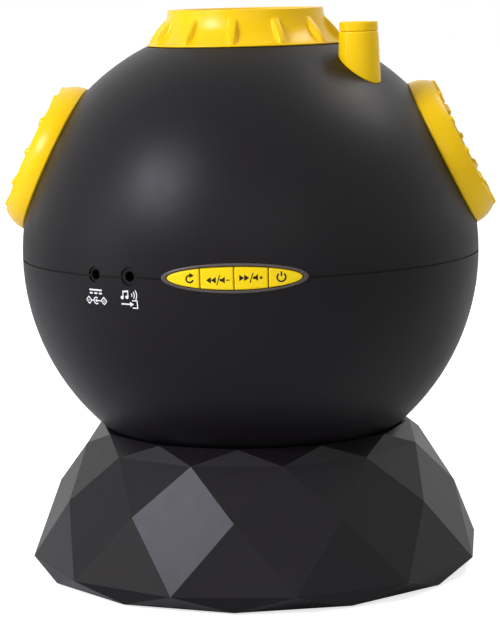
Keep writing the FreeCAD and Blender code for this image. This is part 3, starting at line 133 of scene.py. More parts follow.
def moulded(name, colour, roughness, grain=0.0, grain_size=0.0003, wave=0.0, wave_size=0.004, spread=0.05,
            metallic=0.0, tint=0.06, subsurface=0.0, specular=0.5):
    """Plastic, rubber or metal with a fine surface grain, a slow ripple and uneven colour and gloss."""
    material = bpy.data.materials.new(name)
    material.use_nodes = True
    nodes, links = material.node_tree.nodes, material.node_tree.links
    shader = nodes["Principled BSDF"]
    shader.inputs["Metallic"].default_value = metallic
    shader.inputs["Specular IOR Level"].default_value = specular
    shader.inputs["Coat Roughness"].default_value = 0.08
    shader.inputs["Subsurface Weight"].default_value = subsurface
    shader.inputs["Subsurface Scale"].default_value = 0.002
    place = nodes.new("ShaderNodeTexCoord").outputs["Object"]

    cloud = noise(nodes, links, CLOUD_SCALE, 4.0, place)
    tone = nodes.new("ShaderNodeMix")
    tone.data_type = "RGBA"
    links.new(cloud.outputs["Fac"], tone.inputs["Factor"])
    tone.inputs["A"].default_value = (*[value * (1 - tint) for value in colour[:3]], 1.0)
    tone.inputs["B"].default_value = (*[min(1.0, value * (1 + tint)) for value in colour[:3]], 1.0)
    links.new(tone.outputs["Result"], shader.inputs["Base Color"])

    smear = noise(nodes, links, SMEAR_SCALE, 3.0, place)
    gloss = nodes.new("ShaderNodeMapRange")
    gloss.inputs["To Min"].default_value = max(0.02, roughness - spread)
    gloss.inputs["To Max"].default_value = min(1.0, roughness + spread)
    links.new(smear.outputs["Fac"], gloss.inputs["Value"])
    links.new(gloss.outputs["Result"], shader.inputs["Roughness"])

    last = None
    for strength, size, depth in ((grain, grain_size, GRAIN_DEPTH), (wave, wave_size, WAVE_DEPTH)):
        if strength <= 0:
            continue
        bumps = noise(nodes, links, 1.0 / size, 2.0, place)
        bump = nodes.new("ShaderNodeBump")
        bump.inputs["Strength"].default_value = strength
        bump.inputs["Distance"].default_value = depth
        links.new(bumps.outputs["Fac"], bump.inputs["Height"])
        if last:
            links.new(last.outputs["Normal"], bump.inputs["Normal"])
        last = bump
    if last:
        links.new(last.outputs["Normal"], shader.inputs["Normal"])
    return material


def clear_glass(name, tint, roughness=0.02):
    material = moulded(name, tint, roughness, wave=0.02, wave_size=0.008, spread=0.01, tint=0.01)
    shader = material.node_tree.nodes["Principled BSDF"]
    shader.inputs["Transmission Weight"].default_value = 1.0
    shader.inputs["IOR"].default_value = 1.5
    shader.inputs["Coat Weight"].default_value = 0.4
    return material


def make_materials():
    return {
        "ball": moulded("soft_black", linear(17, 14, 17), 0.4, grain=0.3, grain_size=0.00035, tint=0.05,
                        specular=0.17),
        "stand": moulded("stand_black", linear(21, 18, 21), 0.33, grain=0.4, grain_size=0.0004, tint=0.06,
                         spread=0.025, specular=0.17),
        "yellow": moulded("gloss_yellow", linear(252, 205, 3), 0.26, wave=0.12, wave_size=0.006, spread=0.05,
                          tint=0.03, subsurface=0.05, specular=0.22),
        "key": moulded("key_yellow", linear(250, 216, 14), 0.26, wave=0.05, spread=0.05, tint=0.03,
                       subsurface=0.04, specular=0.2),
        "bezel": moulded("bezel_grey", linear(82, 75, 73), 0.3, grain=0.2, grain_size=0.0003, metallic=0.2,
                         specular=0.3),
        "socket": moulded("socket_black", linear(14, 12, 13), 0.4, grain=0.3, grain_size=0.0003, specular=0.15),
        "lens_black": moulded("lens_black", linear(24, 24, 25), 0.5, grain=0.4, grain_size=0.0003),
        "grille": moulded("grille_black", linear(28, 28, 30), 0.5, grain=0.4, grain_size=0.0003),
        "rubber": moulded("rubber", linear(30, 30, 31), 0.75, grain=0.5, grain_size=0.0003),
        "steel": moulded("steel", linear(176, 176, 180), 0.3, grain=0.15, metallic=1.0),
        "aluminium": moulded("aluminium", linear(196, 197, 200), 0.35, grain=0.2, metallic=1.0),
        "frame": moulded("frame_black", linear(34, 34, 36), 0.55, grain=0.3),
        "gear": moulded("gear_white", linear(226, 224, 214), 0.35, grain=0.1, subsurface=0.1),
        "board": moulded("board_green", linear(22, 84, 44), 0.35, grain=0.2),
        "white": moulded("board_white", linear(225, 225, 222), 0.5, grain=0.2),
        "film": moulded("film_black", linear(12, 12, 16), 0.12, wave=0.03),
        "resin": clear_glass("lamp_resin", linear(238, 240, 232), 0.1),
        "glass": clear_glass("lens_glass", linear(236, 244, 250)),
        "paper": moulded("cone_paper", linear(38, 36, 35), 0.85, grain=0.6, grain_size=0.0004),
        "iron": moulded("magnet_iron", linear(60, 60, 62), 0.6, grain=0.4),
        "print": moulded("print_white", linear(232, 232, 235), 0.55, grain=0.2, grain_size=0.0002),
        "icon": moulded("icon_dark", linear(34, 25, 10), 0.45, grain=0.2, grain_size=0.0002, specular=0.2),
    }


CAD_FINISH = {
    "ball": ["upper_shell", "lower_shell"],
    "stand": ["base_shell", "base_plate"],
    "rubber": ["base_feet", "seat_ring"],
    "steel": ["base_screws", "shell_screws", "mount_screws", "lamp_screws", "board_screws", "motor"],
    "lens_black": ["lens_mount", "lens_barrel", "lens_retainer"],
    "glass": ["front_lens", "rear_lens", "condenser_lens", "meteor_lens"],
    "frame": ["projector_frame", "disc_clamp", "speaker_basket_right", "speaker_basket_left", "key_switches"],
    "white": ["lamp_board"],
    "resin": ["star_lamp", "meteor_lamp"],
    "aluminium": ["heat_sink"],
    "gear": ["disc_gear", "motor_pinion"],
    "film": ["star_disc"],
    "board": ["key_board", "main_board", "meteor_board"],
    "grille": ["speaker_grille_right", "speaker_grille_left"],
    "paper": ["speaker_cone_right", "speaker_cone_left"],
    "iron": ["speaker_magnet_right", "speaker_magnet_left"],
    "yellow": ["focus_ring", "meteor_tube", "meteor_cap", "speaker_ring_right", "speaker_ring_left"],
    "key": ["key_mode", "key_previous", "key_next", "key_power"],
    "bezel": ["control_bezel"],
    "socket": ["dc_jack", "audio_jack", "board_parts"],
}


def finish_cad_nodes(materials):
    for finish, names in CAD_FINISH.items():
        for name in names:
            data = NODES[name].data
            data.materials.clear()
            data.materials.append(materials[finish])


# Mesh building

def add_piece(name, data, material, body):
    data.materials.append(material)
    piece = bpy.data.objects.new(name, data)
    bpy.context.scene.collection.objects.link(piece)
    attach(piece, body)
    return piece


def new_piece(name, points, faces, material, body):
    data = bpy.data.meshes.new(name)
    data.from_pydata([tuple(point) for point in points], [], faces)
    data.update()
    data.polygons.foreach_set("use_smooth", [True] * len(data.polygons))
    return add_piece(name, data, material, body)


def closed_grid(rows, turns):
    """Quads over a grid whose rows and turns both close on themselves."""
    return [(row * turns + turn, row * turns + (turn + 1) % turns,
             ((row + 1) % rows) * turns + (turn + 1) % turns, ((row + 1) % rows) * turns + turn)
            for row in range(rows) for turn in range(turns)]


def turned(profile, turns, x=0.0, y=0.0):
    """Points of a round profile of radii and levels, about the upright axis through x and y."""
    points = []
    for radius, level in profile:
        for turn in range(turns):
            angle = 2 * math.pi * turn / turns
            points.append((x + radius * math.cos(angle), y + radius * math.sin(angle), level))
    return points


def fillet(start, corner, end, steps=6):
    """Points of a smooth bend from start past the corner to end."""
    points = []
    for step in range(steps + 1):
        share = step / steps
        points.append(tuple((1 - share) ** 2 * a + 2 * share * (1 - share) * b + share ** 2 * c
                            for a, b, c in zip(start, corner, end)))
    return points


def smooth_step(value):
    value = min(1.0, max(0.0, value))
    return value * value * (3 - 2 * value)


# Focus ring

RIBS = 12
RIB_FIRST = math.radians(25.3)
RIB_HALF = 1.75 * MM
RIB_SOFT = 0.75 * MM
RIB_CROWN = 0.35 * MM
RIB_FULLNESS = 0.98
RIB_END = 0.8
RING_TURNS = RIBS * 44
RING_SHARES = [0.0, 0.02, 0.045, 0.06, 0.075] + [0.09 + 0.025 * step for step in range(35)]
RING_TAPER = 7.95 * MM
RING_NARROW = RING_HIGH.x - RING_TAPER
RING_FOOT_END = 0.06
RING_WALL_END = 0.955
RING_RIM = 0.55 * MM
RING_MOUTH = 24.6 * MM
RING_MOUTH_BEND = 0.7 * MM
RING_BORE = 28.25 * MM
RING_LEDGE = NECK_HIGH.z + 0.3 * MM


def ring_wall(share):
    """The ring's radius between two ribs, at a share of its height."""
    if share < RING_FOOT_END:
        return RING_HIGH.x
    return RING_NARROW + RING_TAPER * (0.72 * (1 - share) ** 3.2 + 0.25 * (1 - share))


def rib_wall(share):
    """The radius of a rib's crown, at a share of the ring's height."""
    if share > RIB_END:
        return 0.0
    return RING_NARROW + RING_TAPER * RIB_FULLNESS * (1 - (share / RIB_END) ** 1.5)


def focus_ring(materials):
    """The flared ring round the lens, with soft ribs that die away below its top band."""
    base, top = RING_LOW.z, RING_HIGH.z
    pitch = 2 * math.pi / RIBS
    points = []
    for share in RING_SHARES:
        wall, crown = ring_wall(share), rib_wall(share)
        for turn in range(RING_TURNS):
            angle = 2 * math.pi * turn / RING_TURNS
            off = abs((angle - RIB_FIRST + pitch / 2) % pitch - pitch / 2) * wall
            raised = 1 - smooth_step((off - RIB_HALF + RIB_SOFT) / RIB_SOFT)
            over = crown - RIB_CROWN * (off / RIB_HALF) ** 2 - wall
            radius = wall + max(0.0, over) * raised
            points.append((radius * math.cos(angle), radius * math.sin(angle), base + share * (top - base)))
    rim = ring_wall(RING_WALL_END)
    mouth = fillet((rim, base + RING_WALL_END * (top - base)), (rim, top), (rim - RING_RIM, top))
    mouth += fillet((RING_MOUTH + RING_MOUTH_BEND, top), (RING_MOUTH, top), (RING_MOUTH, top - RING_MOUTH_BEND))
    mouth += [(RING_MOUTH, RING_LEDGE), (RING_BORE, RING_LEDGE - 0.01 * MM), (RING_BORE, base)]
    points += turned(mouth, RING_TURNS)
    piece = new_piece("focus_ring_skin", points, closed_grid(len(RING_SHARES) + len(mouth), RING_TURNS),
                      materials["yellow"], "focus")
    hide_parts("focus_ring")


# Speaker rings

EAR_ELEVATION = math.radians(26.0)
EAR_RADIUS = 28.7 * MM
EAR_FACE = 88.7 * MM
EAR_FACE_RADIUS = 25.3 * MM
EAR_FACE_STEPS = 26
EAR_BULGE = 2.3
EAR_SHARES = (0.0, 0.1, 0.2, 0.3, 0.4, 0.5, 0.58, 0.66, 0.73, 0.8, 0.86, 0.91, 0.95, 0.98)
EAR_MOUTH = 19.85 * MM
EAR_MOUTH_BEND = 0.7 * MM
GRILLE_LEVEL = 84.5 * MM
NUBS = 12
NUB_CIRCLE = 22.9 * MM
NUB_RADIUS = 1.3 * MM
NUB_HALF_LENGTH = 1.7 * MM
NUB_HEIGHT = 1.0 * MM
NUB_FIRST = math.radians(3.0)
NUB_LEVEL = 0.75


def ear_matrix(sign):
    turn = Matrix.Rotation(sign * (math.pi / 2 - EAR_ELEVATION), 4, "Y")
    return Matrix.Translation(CENTRE) @ turn


def nub_height(radius, angle):
    step = 2 * math.pi / NUBS
    across = radius * ((angle - NUB_FIRST + step / 2) % step - step / 2)
    along = max(0.0, abs(radius - NUB_CIRCLE) - NUB_HALF_LENGTH)
    share = math.hypot(across, along) / NUB_RADIUS
    return NUB_HEIGHT * math.sqrt(max(0.0, 1 - share * share))


def speaker_ring(side, sign, materials):
    """The turned ring over a speaker, with rounded nubs round its face."""
    foot = math.sqrt(RADIUS ** 2 - EAR_RADIUS ** 2)
    rise = EAR_FACE - foot
    turns = NUBS * 48
    profile = [(EAR_RADIUS - (EAR_RADIUS - EAR_FACE_RADIUS) * share ** EAR_BULGE, foot + rise * share)
               for share in EAR_SHARES]
    flat = EAR_FACE_RADIUS - EAR_MOUTH - EAR_MOUTH_BEND
    profile += [(EAR_FACE_RADIUS - flat * step / EAR_FACE_STEPS, EAR_FACE) for step in range(EAR_FACE_STEPS + 1)]
    profile += fillet((EAR_MOUTH + 0.6 * MM, EAR_FACE), (EAR_MOUTH, EAR_FACE),
                      (EAR_MOUTH, EAR_FACE - EAR_MOUTH_BEND), 4)
    profile += [(EAR_MOUTH, GRILLE_LEVEL), (EAR_MOUTH + 2.2 * MM, GRILLE_LEVEL - 0.4 * MM),
                (EAR_RADIUS - 1.4 * MM, foot + 1.2 * MM)]
    points = []
    placed = ear_matrix(sign)
    for radius, level in profile:
        for turn in range(turns):
            angle = 2 * math.pi * turn / turns
            bump = 0.0
            if level > foot + rise * NUB_LEVEL:
                bump = nub_height(radius, angle)
            points.append(placed @ Vector((radius * math.cos(angle), radius * math.sin(angle), level + bump)))
    piece = new_piece("speaker_ring_skin_" + side, points, closed_grid(len(profile), turns),
                      materials["yellow"], "ball")
    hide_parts("speaker_ring_" + side)


# Shooting-star tube

TUBE_MIDDLE = (CAP_LOW + CAP_HIGH) / 2
TUBE_FOOT_RADIUS = 7.7 * MM
TUBE_TOP_RADIUS = 7.05 * MM
TUBE_FOOT_LEVEL = CENTRE.z + 64.0 * MM
TUBE_BORE = 5.4 * MM
TUBE_EDGE = 0.25 * MM
TUBE_TURNS = 96
TUBE_ROWS = 30
CAP_RADIUS = 6.85 * MM
CAP_WINDOW = 4.2 * MM
CAP_GAP = 0.12 * MM


def tube_radius(level):
    share = (level - TUBE_FOOT_LEVEL) / (TUBE_HIGH.z - TUBE_FOOT_LEVEL)
    return TUBE_FOOT_RADIUS + (TUBE_TOP_RADIUS - TUBE_FOOT_RADIUS) * share


def meteor_tube(materials):
    """The small upright tube beside the focus ring: tapered, with a foot that follows the ball."""
    seam = TUBE_HIGH.z
    points = []
    for row in range(TUBE_ROWS + 1):
        for turn in range(TUBE_TURNS):
            angle = 2 * math.pi * turn / TUBE_TURNS
            x, y = math.cos(angle), math.sin(angle)
            away = math.hypot(TUBE_MIDDLE.x + TUBE_FOOT_RADIUS * x, TUBE_MIDDLE.y + TUBE_FOOT_RADIUS * y)
            low = CENTRE.z + math.sqrt(max(0.0, RADIUS ** 2 - away ** 2)) - 0.02 * MM
            level = low + (seam - TUBE_EDGE - low) * row / TUBE_ROWS
            radius = tube_radius(level)
            points.append((TUBE_MIDDLE.x + radius * x, TUBE_MIDDLE.y + radius * y, level))
    mouth = [(TUBE_TOP_RADIUS - TUBE_EDGE, seam), (TUBE_BORE, seam), (TUBE_BORE, TUBE_FOOT_LEVEL + 6 * MM)]
    points += turned(mouth, TUBE_TURNS, TUBE_MIDDLE.x, TUBE_MIDDLE.y)
    tube = new_piece("meteor_tube_skin", points, closed_grid(TUBE_ROWS + 1 + len(mouth), TUBE_TURNS),
                     materials["yellow"], "ball")
    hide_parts("meteor_tube")


def meteor_cap(materials):
    """The tube's cap ring, with all its edges rounded."""
    low, top = TUBE_HIGH.z + CAP_GAP, CAP_HIGH.z
    side = CAP_RADIUS + 0.05 * MM
    inner = TUBE_BORE - 0.1 * MM
    profile = fillet((CAP_RADIUS - 0.35 * MM, low), (side, low), (side, low + 0.3 * MM), 4)
    profile += fillet((CAP_RADIUS, top - 0.5 * MM), (CAP_RADIUS, top), (CAP_RADIUS - 0.5 * MM, top), 5)
    profile += fillet((CAP_WINDOW + 1.0 * MM, top), (CAP_WINDOW + 0.3 * MM, top), (CAP_WINDOW, top - 0.8 * MM), 5)
    profile += [(CAP_WINDOW, CAP_LOW.z), (inner, CAP_LOW.z), (inner, low)]
    points = turned(profile, TUBE_TURNS, TUBE_MIDDLE.x, TUBE_MIDDLE.y)
    cap = new_piece("meteor_cap_skin", points, closed_grid(len(profile), TUBE_TURNS), materials["yellow"], "ball")
    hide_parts("meteor_cap")


# Keys and bezel

BEZEL_HALF_WIDTH = BEZEL_HIGH.x
BEZEL_HALF_HEIGHT = (BEZEL_HIGH.z - BEZEL_LOW.z) / 2
BEZEL_EDGE = 0.1 * MM
BEZEL_CROWN = 0.5 * MM
BEZEL_STEPS = 12
KEYS_HALF_WIDTH = BEZEL_HALF_WIDTH - 1.95 * MM
KEYS_HALF_HEIGHT = BEZEL_HALF_HEIGHT - 1.15 * MM
KEY_FACE = RADIUS + 0.86 * MM
KEY_BACK = RADIUS - 3.0 * MM
KEY_ROUNDING = 0.6 * MM
KEY_COLUMNS = 72
KEY_ROWS = 44
KEY_GAP = 0.2 * MM
KEY_SPLIT = 0.35 * MM
DIVIDER = 11.7 * MM
KEYS = {
    "mode": (-KEYS_HALF_WIDTH + KEY_GAP, -DIVIDER - KEY_SPLIT / 2),
    "previous": (-DIVIDER + KEY_SPLIT / 2, -KEY_SPLIT / 2),
    "next": (KEY_SPLIT / 2, DIVIDER - KEY_SPLIT / 2),
    "power": (DIVIDER + KEY_SPLIT / 2, KEYS_HALF_WIDTH - KEY_GAP),
}


def on_ball(x, z, radius):
    """The point of a ball of that radius behind x and z, seen from the rear."""
    return CENTRE + Vector((x, -math.sqrt(max(0.0, radius ** 2 - x * x - z * z)), z))


def bezel(materials):
    """The oval frame round the keys, with a rounded crown."""
    turns = 240
    profile = [(0.0, RADIUS - 1.2 * MM), (0.0, RADIUS + BEZEL_EDGE)]
    for step in range(1, BEZEL_STEPS):
        bend = math.pi * step / BEZEL_STEPS
        profile.append((0.5 - 0.5 * math.cos(bend), RADIUS + BEZEL_EDGE + BEZEL_CROWN * math.sin(bend)))
    profile += [(1.0, RADIUS - BEZEL_EDGE), (1.0, RADIUS - 2.2 * MM)]
    points = []
    for share, radius in profile:
        half_width = BEZEL_HALF_WIDTH + (KEYS_HALF_WIDTH - BEZEL_HALF_WIDTH) * share
        half_height = BEZEL_HALF_HEIGHT + (KEYS_HALF_HEIGHT - BEZEL_HALF_HEIGHT) * share
        for turn in range(turns):
            angle = 2 * math.pi * turn / turns
            points.append(on_ball(half_width * math.cos(angle), half_height * math.sin(angle), radius))
    piece = new_piece("control_bezel_skin", points, closed_grid(len(profile), turns), materials["bezel"], "ball")
    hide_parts("control_bezel")


def eased(count):
    """Shares from 0 to 1 that lie closer together at both ends."""
    return [0.5 - 0.5 * math.cos(math.pi * step / count) for step in range(count + 1)]


def key_height(x):
    """Half the height of the row of keys at x."""
    reach = KEYS_HALF_WIDTH - KEY_GAP
    return (KEYS_HALF_HEIGHT - KEY_GAP) * math.sqrt(max(0.0, 1 - (x / reach) ** 2))


def edge_distance(name, x, z, half):
    """How far a point of a key's face lies inside the nearest edge of the key."""
    low, high = KEYS[name]
    ends = [half - abs(z)]
    if name != "mode":
        ends.append(x - low)
    if name != "power":
        ends.append(high - x)
    return max(0.0, min(ends))


def key(name, materials):
    """One key: its face follows the ball and rolls over softly at its edges."""
    low, high = KEYS[name]
    points, faces = [], []
    for across in eased(KEY_COLUMNS):
        x = low + (high - low) * across
        half = max(key_height(x), 0.02 * MM)
        for up in eased(KEY_ROWS):
            z = -half + 2 * half * up
            edge = edge_distance(name, x, z, half)
            drop = 0.0
            if edge < KEY_ROUNDING:
                drop = KEY_ROUNDING - math.sqrt(KEY_ROUNDING ** 2 - (KEY_ROUNDING - edge) ** 2)
            points.append(on_ball(x, z, KEY_FACE - drop))
    width = KEY_ROWS + 1
    for column in range(KEY_COLUMNS):
        for row in range(KEY_ROWS):
            corner = column * width + row
            faces.append((corner, corner + width, corner + width + 1, corner + 1))
    edge_loop = [column * width for column in range(KEY_COLUMNS + 1)]
    edge_loop += [KEY_COLUMNS * width + row for row in range(1, width)]
    edge_loop += [column * width + KEY_ROWS for column in range(KEY_COLUMNS - 1, -1, -1)]
    edge_loop += list(range(KEY_ROWS - 1, 0, -1))
    back = len(points)
    for index in edge_loop:
        point = Vector(points[index]) - CENTRE
        points.append(on_ball(point.x, point.z, KEY_BACK))
    count = len(edge_loop)
    for step in range(count):
        after = (step + 1) % count
        faces.append((edge_loop[after], edge_loop[step], back + step, back + after))
    faces.append(tuple(back + step for step in range(count)))
    piece = new_piece("key_skin_" + name, points, faces, materials["key"], name + "_key")
    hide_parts("key_" + name)


# Printed signs, drawn flat in millimetres and laid onto the ball

def bar(x0, z0, x1, z1, thick):
    """A straight stroke as four corners."""
    along = Vector((x1 - x0, z1 - z0)).normalized()
    side = Vector((-along.y, along.x)) * thick / 2
    return [(x0 + side.x, z0 + side.y), (x0 - side.x, z0 - side.y), (x1 - side.x, z1 - side.y),
            (x1 + side.x, z1 + side.y)]


def arc_band(x, z, radius, thick, start, end, steps=24):
    """A curved stroke as a list of four-cornered links."""
    links = []
    for step in range(steps):
        first = math.radians(start + (end - start) * step / steps)
        last = math.radians(start + (end - start) * (step + 1) / steps)
        inner, outer = radius - thick / 2, radius + thick / 2
        links.append([(x + inner * math.cos(first), z + inner * math.sin(first)),
                      (x + outer * math.cos(first), z + outer * math.sin(first)),
                      (x + outer * math.cos(last), z + outer * math.sin(last)),
                      (x + inner * math.cos(last), z + inner * math.sin(last))])
    return links


def disc_fan(x, z, radius, steps=20):
    """A filled disc as a list of triangles."""
    rim = []
    for step in range(steps + 1):
        angle = 2 * math.pi * step / steps
        rim.append((x + radius * math.cos(angle), z + radius * math.sin(angle)))
    return [[(x, z), rim[step], rim[step + 1]] for step in range(steps)]


def power_sign(x, z):
    return arc_band(x, z, 1.45, 0.55, 125, 415) + [bar(x, z + 0.35, x, z + 2.0, 0.55)]


def arrow_pair(x, z, way):
    """Two solid triangles side by side that point left for way -1 and right for way 1."""
    shapes = []
    for middle in (x - 0.85, x + 0.85):
        tip, foot = middle + way * 0.9, middle - way * 0.8
        shapes.append([(tip, z), (foot, z + 1.1), (foot, z - 1.1)])
    return shapes


def loudness_sign(x, z, more):
    """A loudspeaker with a minus, or a plus for more."""
    shapes = [[(x - 1.3, z), (x + 0.3, z + 1.15), (x + 0.3, z - 1.15)], bar(x - 1.4, z, x - 0.5, z, 0.9),
              bar(x + 0.75, z, x + 1.95, z, 0.36)]
    if more:
        shapes.append(bar(x + 1.35, z - 0.6, x + 1.35, z + 0.6, 0.36))
    return shapes


def mode_sign(x, z):
    """A turning arrow: the next of several modes."""
    shapes = arc_band(x, z, 1.2, 0.55, 75, 345)
    shapes.append([(x + 1.5, z + 1.25), (x - 0.05, z + 2.15), (x - 0.05, z + 0.3)])
    return shapes


def slash(x, z):
    return [bar(x - 0.5, z - 1.7, x + 0.5, z + 1.7, 0.34)]


KEY_SIGNS = {
    "mode": mode_sign(-15.2, -0.1),
    "previous": arrow_pair(-7.8, -0.5, -1) + slash(-5.3, -0.4) + loudness_sign(-3.4, -0.5, False),
    "next": arrow_pair(3.5, 0.2, 1) + slash(6.0, 0.2) + loudness_sign(7.9, 0.2, True),
    "power": power_sign(16.1, 0.1),
}


def diamond(x, z, reach, thick):
    """The outline of a square that stands on a corner."""
    corners = [(x, z + reach), (x - reach, z), (x, z - reach), (x + reach, z)]
    return [bar(*corners[step - 1], *corners[step], thick) for step in range(4)]


def power_socket_signs():
    """The sign for direct current over the one for a round plug with its plus in the middle."""
    shapes = [bar(-2.9, 2.75, 2.9, 2.75, 0.6)]
    shapes += [bar(x - 0.7, 1.6, x + 0.7, 1.6, 0.6) for x in (-2.2, 0.0, 2.2)]
    shapes += diamond(-3.5, -1.0, 1.3, 0.38) + diamond(3.5, -1.0, 1.3, 0.38)
    shapes += arc_band(0.0, -1.0, 1.15, 0.42, 50, 310) + disc_fan(0.0, -1.0, 0.5)
    shapes += [bar(-2.3, -1.0, -1.3, -1.0, 0.38), bar(0.0, -1.0, 2.3, -1.0, 0.38)]
    shapes += [bar(-3.95, -1.0, -3.05, -1.0, 0.26), bar(3.05, -1.0, 3.95, -1.0, 0.26),
               bar(3.5, -1.45, 3.5, -0.55, 0.26)]
    return shapes


def audio_socket_signs():
    """Two joined notes and sound waves over an arrow that goes into a box."""
    shapes = disc_fan(-3.1, 0.75, 0.62) + disc_fan(-1.1, 0.95, 0.62)
    shapes += [bar(-2.65, 0.7, -2.65, 3.0, 0.38), bar(-0.65, 0.9, -0.65, 3.2, 0.38),
               bar(-2.84, 2.85, -0.46, 3.1, 0.62)]
    for radius in (0.9, 1.85, 2.8):
        shapes += arc_band(0.1, 1.8, radius, 0.36, -38, 38, 12)
    shapes += [bar(-3.6, -1.5, 0.2, -1.5, 0.5), [(0.0, -0.6), (1.5, -1.5), (0.0, -2.4)]]
    shapes += [bar(0.9, -0.2, 3.1, -0.2, 0.4), bar(2.9, -0.2, 2.9, -2.8, 0.4), bar(0.9, -2.8, 3.1, -2.8, 0.4)]
    return shapes


SOCKET_SIGNS = {
    "power_socket": (power_socket_signs(), -35.8),
    "audio_socket": (audio_socket_signs(), -25.8),
}
SOCKET_SIGN_DROP = 5.5
PRINT_LIFT = 0.03 * MM
LONGEST_EDGE = 0.6 * MM


def lay_sign(name, shapes, radius, azimuth, drop, material, body):
    """Lay flat shapes onto the ball: cut finely, then bent to its radius."""
    mesh = bmesh.new()
    for shape in shapes:
        corners = [mesh.verts.new((x * MM, 0.0, z * MM)) for x, z in shape]
        mesh.faces.new(corners)
    bmesh.ops.triangulate(mesh, faces=mesh.faces[:])
    long_edges = [edge for edge in mesh.edges if edge.calc_length() > LONGEST_EDGE]
    bmesh.ops.subdivide_edges(mesh, edges=long_edges, cuts=2, use_grid_fill=False)
    bmesh.ops.triangulate(mesh, faces=mesh.faces[:])
    turn = math.radians(azimuth)
    lean = math.radians(drop)
    for vert in mesh.verts:
        ahead = -math.sqrt(radius ** 2 - vert.co.x ** 2 - vert.co.z ** 2)
        flat = Vector((vert.co.x, ahead, vert.co.z))
        vert.co = CENTRE + Matrix.Rotation(turn, 3, "Z") @ (Matrix.Rotation(lean, 3, "X") @ flat)
    bmesh.ops.recalc_face_normals(mesh, faces=mesh.faces[:])
    for face in mesh.faces:
        if face.normal.dot(face.calc_center_median() - CENTRE) < 0:
            face.normal_flip()
    data = bpy.data.meshes.new(name)
    mesh.to_mesh(data)
    mesh.free()
    add_piece(name, data, material, body)


# Stand

STAND_BREAK = 0.35 * MM
STAND_LEAST_BEND = math.radians(8)
STAND_FLAT = math.radians(0.4)


def stand(materials):
    """The faceted stand with its long edges just broken, as moulded."""
    data = NODES["base_shell"].data.copy()
    mesh = bmesh.new()
    mesh.from_mesh(data)
    bmesh.ops.remove_doubles(mesh, verts=mesh.verts[:], dist=0.01 * MM)
    bmesh.ops.dissolve_limit(mesh, angle_limit=STAND_FLAT, verts=mesh.verts[:], edges=mesh.edges[:])
    mesh.to_mesh(data)
    mesh.free()
    data.polygons.foreach_set("use_smooth", [False] * len(data.polygons))
    data.materials.clear()
    data.materials.append(materials["stand"])
    piece = bpy.data.objects.new("stand_skin", data)
    bpy.context.scene.collection.objects.link(piece)
    soften = piece.modifiers.new("soften", "BEVEL")
    soften.width = STAND_BREAK
    soften.segments = 2
    soften.limit_method = "ANGLE"
    soften.angle_limit = STAND_LEAST_BEND
    soften.harden_normals = True
    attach(piece, "base")
    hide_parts("base_shell")


# Floor, lamps and background

def world():
    """White for the camera, glass and metal, and a dimmer white for all other light."""
    studio = bpy.data.worlds.new("studio")
    bpy.context.scene.world = studio
    studio.use_nodes = True
    nodes, links = studio.node_tree.nodes, studio.node_tree.links
    dim = nodes["Background"]
    bright = nodes.new("ShaderNodeBackground")
    for back, strength in ((dim, WORLD_LIGHT), (bright, 1.0)):
        back.inputs["Color"].default_value = WHITE
        back.inputs["Strength"].default_value = strength
    path = nodes.new("ShaderNodeLightPath")
    seen = path.outputs["Is Camera Ray"]
    for ray in ("Is Glossy Ray", "Is Transmission Ray"):
        either = nodes.new("ShaderNodeMath")
        either.operation = "MAXIMUM"
        links.new(seen, either.inputs[0])
        links.new(path.outputs[ray], either.inputs[1])
        seen = either.outputs[0]
    mix = nodes.new("ShaderNodeMixShader")
    links.new(seen, mix.inputs[0])
    links.new(dim.outputs[0], mix.inputs[1])
    links.new(bright.outputs[0], mix.inputs[2])
    links.new(mix.outputs[0], nodes["World Output"].inputs["Surface"])


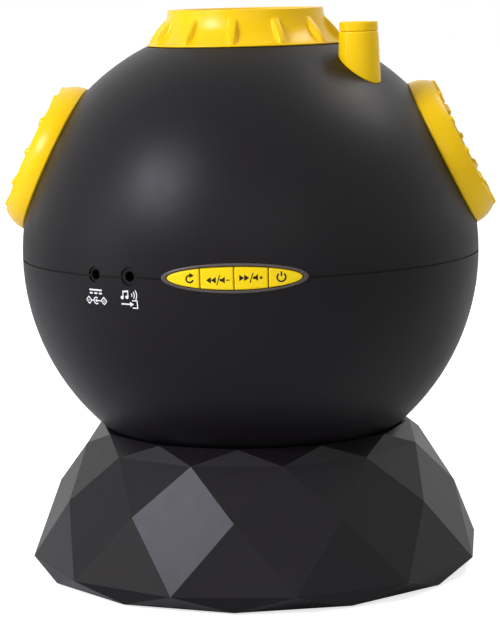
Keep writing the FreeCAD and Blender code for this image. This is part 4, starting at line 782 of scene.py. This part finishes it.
def floor():
    """A white floor that shines a little for the camera, so that only the shadow on it shows."""
    material = bpy.data.materials.new("floor_white")
    material.use_nodes = True
    nodes, links = material.node_tree.nodes, material.node_tree.links
    shader = nodes["Principled BSDF"]
    shader.inputs["Base Color"].default_value = (0.85, 0.85, 0.85, 1.0)
    shader.inputs["Roughness"].default_value = 0.9
    shader.inputs["Emission Color"].default_value = WHITE
    path = nodes.new("ShaderNodeLightPath")
    glow = nodes.new("ShaderNodeMath")
    glow.operation = "MULTIPLY"
    glow.inputs[1].default_value = FLOOR_GLOW
    links.new(path.outputs["Is Camera Ray"], glow.inputs[0])
    links.new(glow.outputs[0], shader.inputs["Emission Strength"])
    data = bpy.data.meshes.new("floor")
    data.from_pydata([(-FLOOR_REACH, -FLOOR_REACH, 0), (FLOOR_REACH, -FLOOR_REACH, 0),
                      (FLOOR_REACH, FLOOR_REACH, 0), (-FLOOR_REACH, FLOOR_REACH, 0)], [], [(0, 1, 2, 3)])
    data.materials.append(material)
    ground = bpy.data.objects.new("floor", data)
    bpy.context.scene.collection.objects.link(ground)


def lamp(name, away, distance, size, power, colour):
    """A square soft box seen from the ball in the direction given: right, back and up."""
    data = bpy.data.lights.new(name, "AREA")
    data.shape = "RECTANGLE"
    data.size, data.size_y = size
    data.energy = power
    data.color = colour
    item = bpy.data.objects.new(name, data)
    direction = Matrix.Rotation(math.radians(CAMERA_AZIMUTH), 3, "Z") @ Vector(away).normalized()
    item.location = CENTRE + direction * distance
    item.rotation_euler = (-direction).to_track_quat("-Z", "Y").to_euler()
    bpy.context.scene.collection.objects.link(item)


def lamps():
    lamp("key", (-0.66, -0.5, 0.56), 1.2, (0.4, 0.4), 11.0, COOL)
    lamp("left", (-0.95, -0.25, 0.16), 1.2, (0.4, 0.6), 1.5, WARM)
    lamp("front", (0.1, -0.95, 0.35), 1.5, (1.0, 0.6), 1.6, WARM)
    lamp("right", (0.556, 0.31, 0.77), 1.2, (0.5, 0.4), 4.0, WARM)


def build():
    make_camera()
    materials = make_materials()
    finish_cad_nodes(materials)
    focus_ring(materials)
    for side, sign in (("right", 1), ("left", -1)):
        speaker_ring(side, sign, materials)
    meteor_tube(materials)
    meteor_cap(materials)
    bezel(materials)
    for name in KEYS:
        key(name, materials)
        lay_sign("sign_" + name, KEY_SIGNS[name], KEY_FACE + PRINT_LIFT, 0.0, 0.0, materials["icon"],
                 name + "_key")
    for name, (shapes, azimuth) in SOCKET_SIGNS.items():
        lay_sign("sign_" + name, shapes, RADIUS + PRINT_LIFT, azimuth, SOCKET_SIGN_DROP, materials["print"],
                 "ball")
    stand(materials)
    floor()
    world()
    lamps()
    bpy.context.scene.view_settings.view_transform = "Standard"


build()
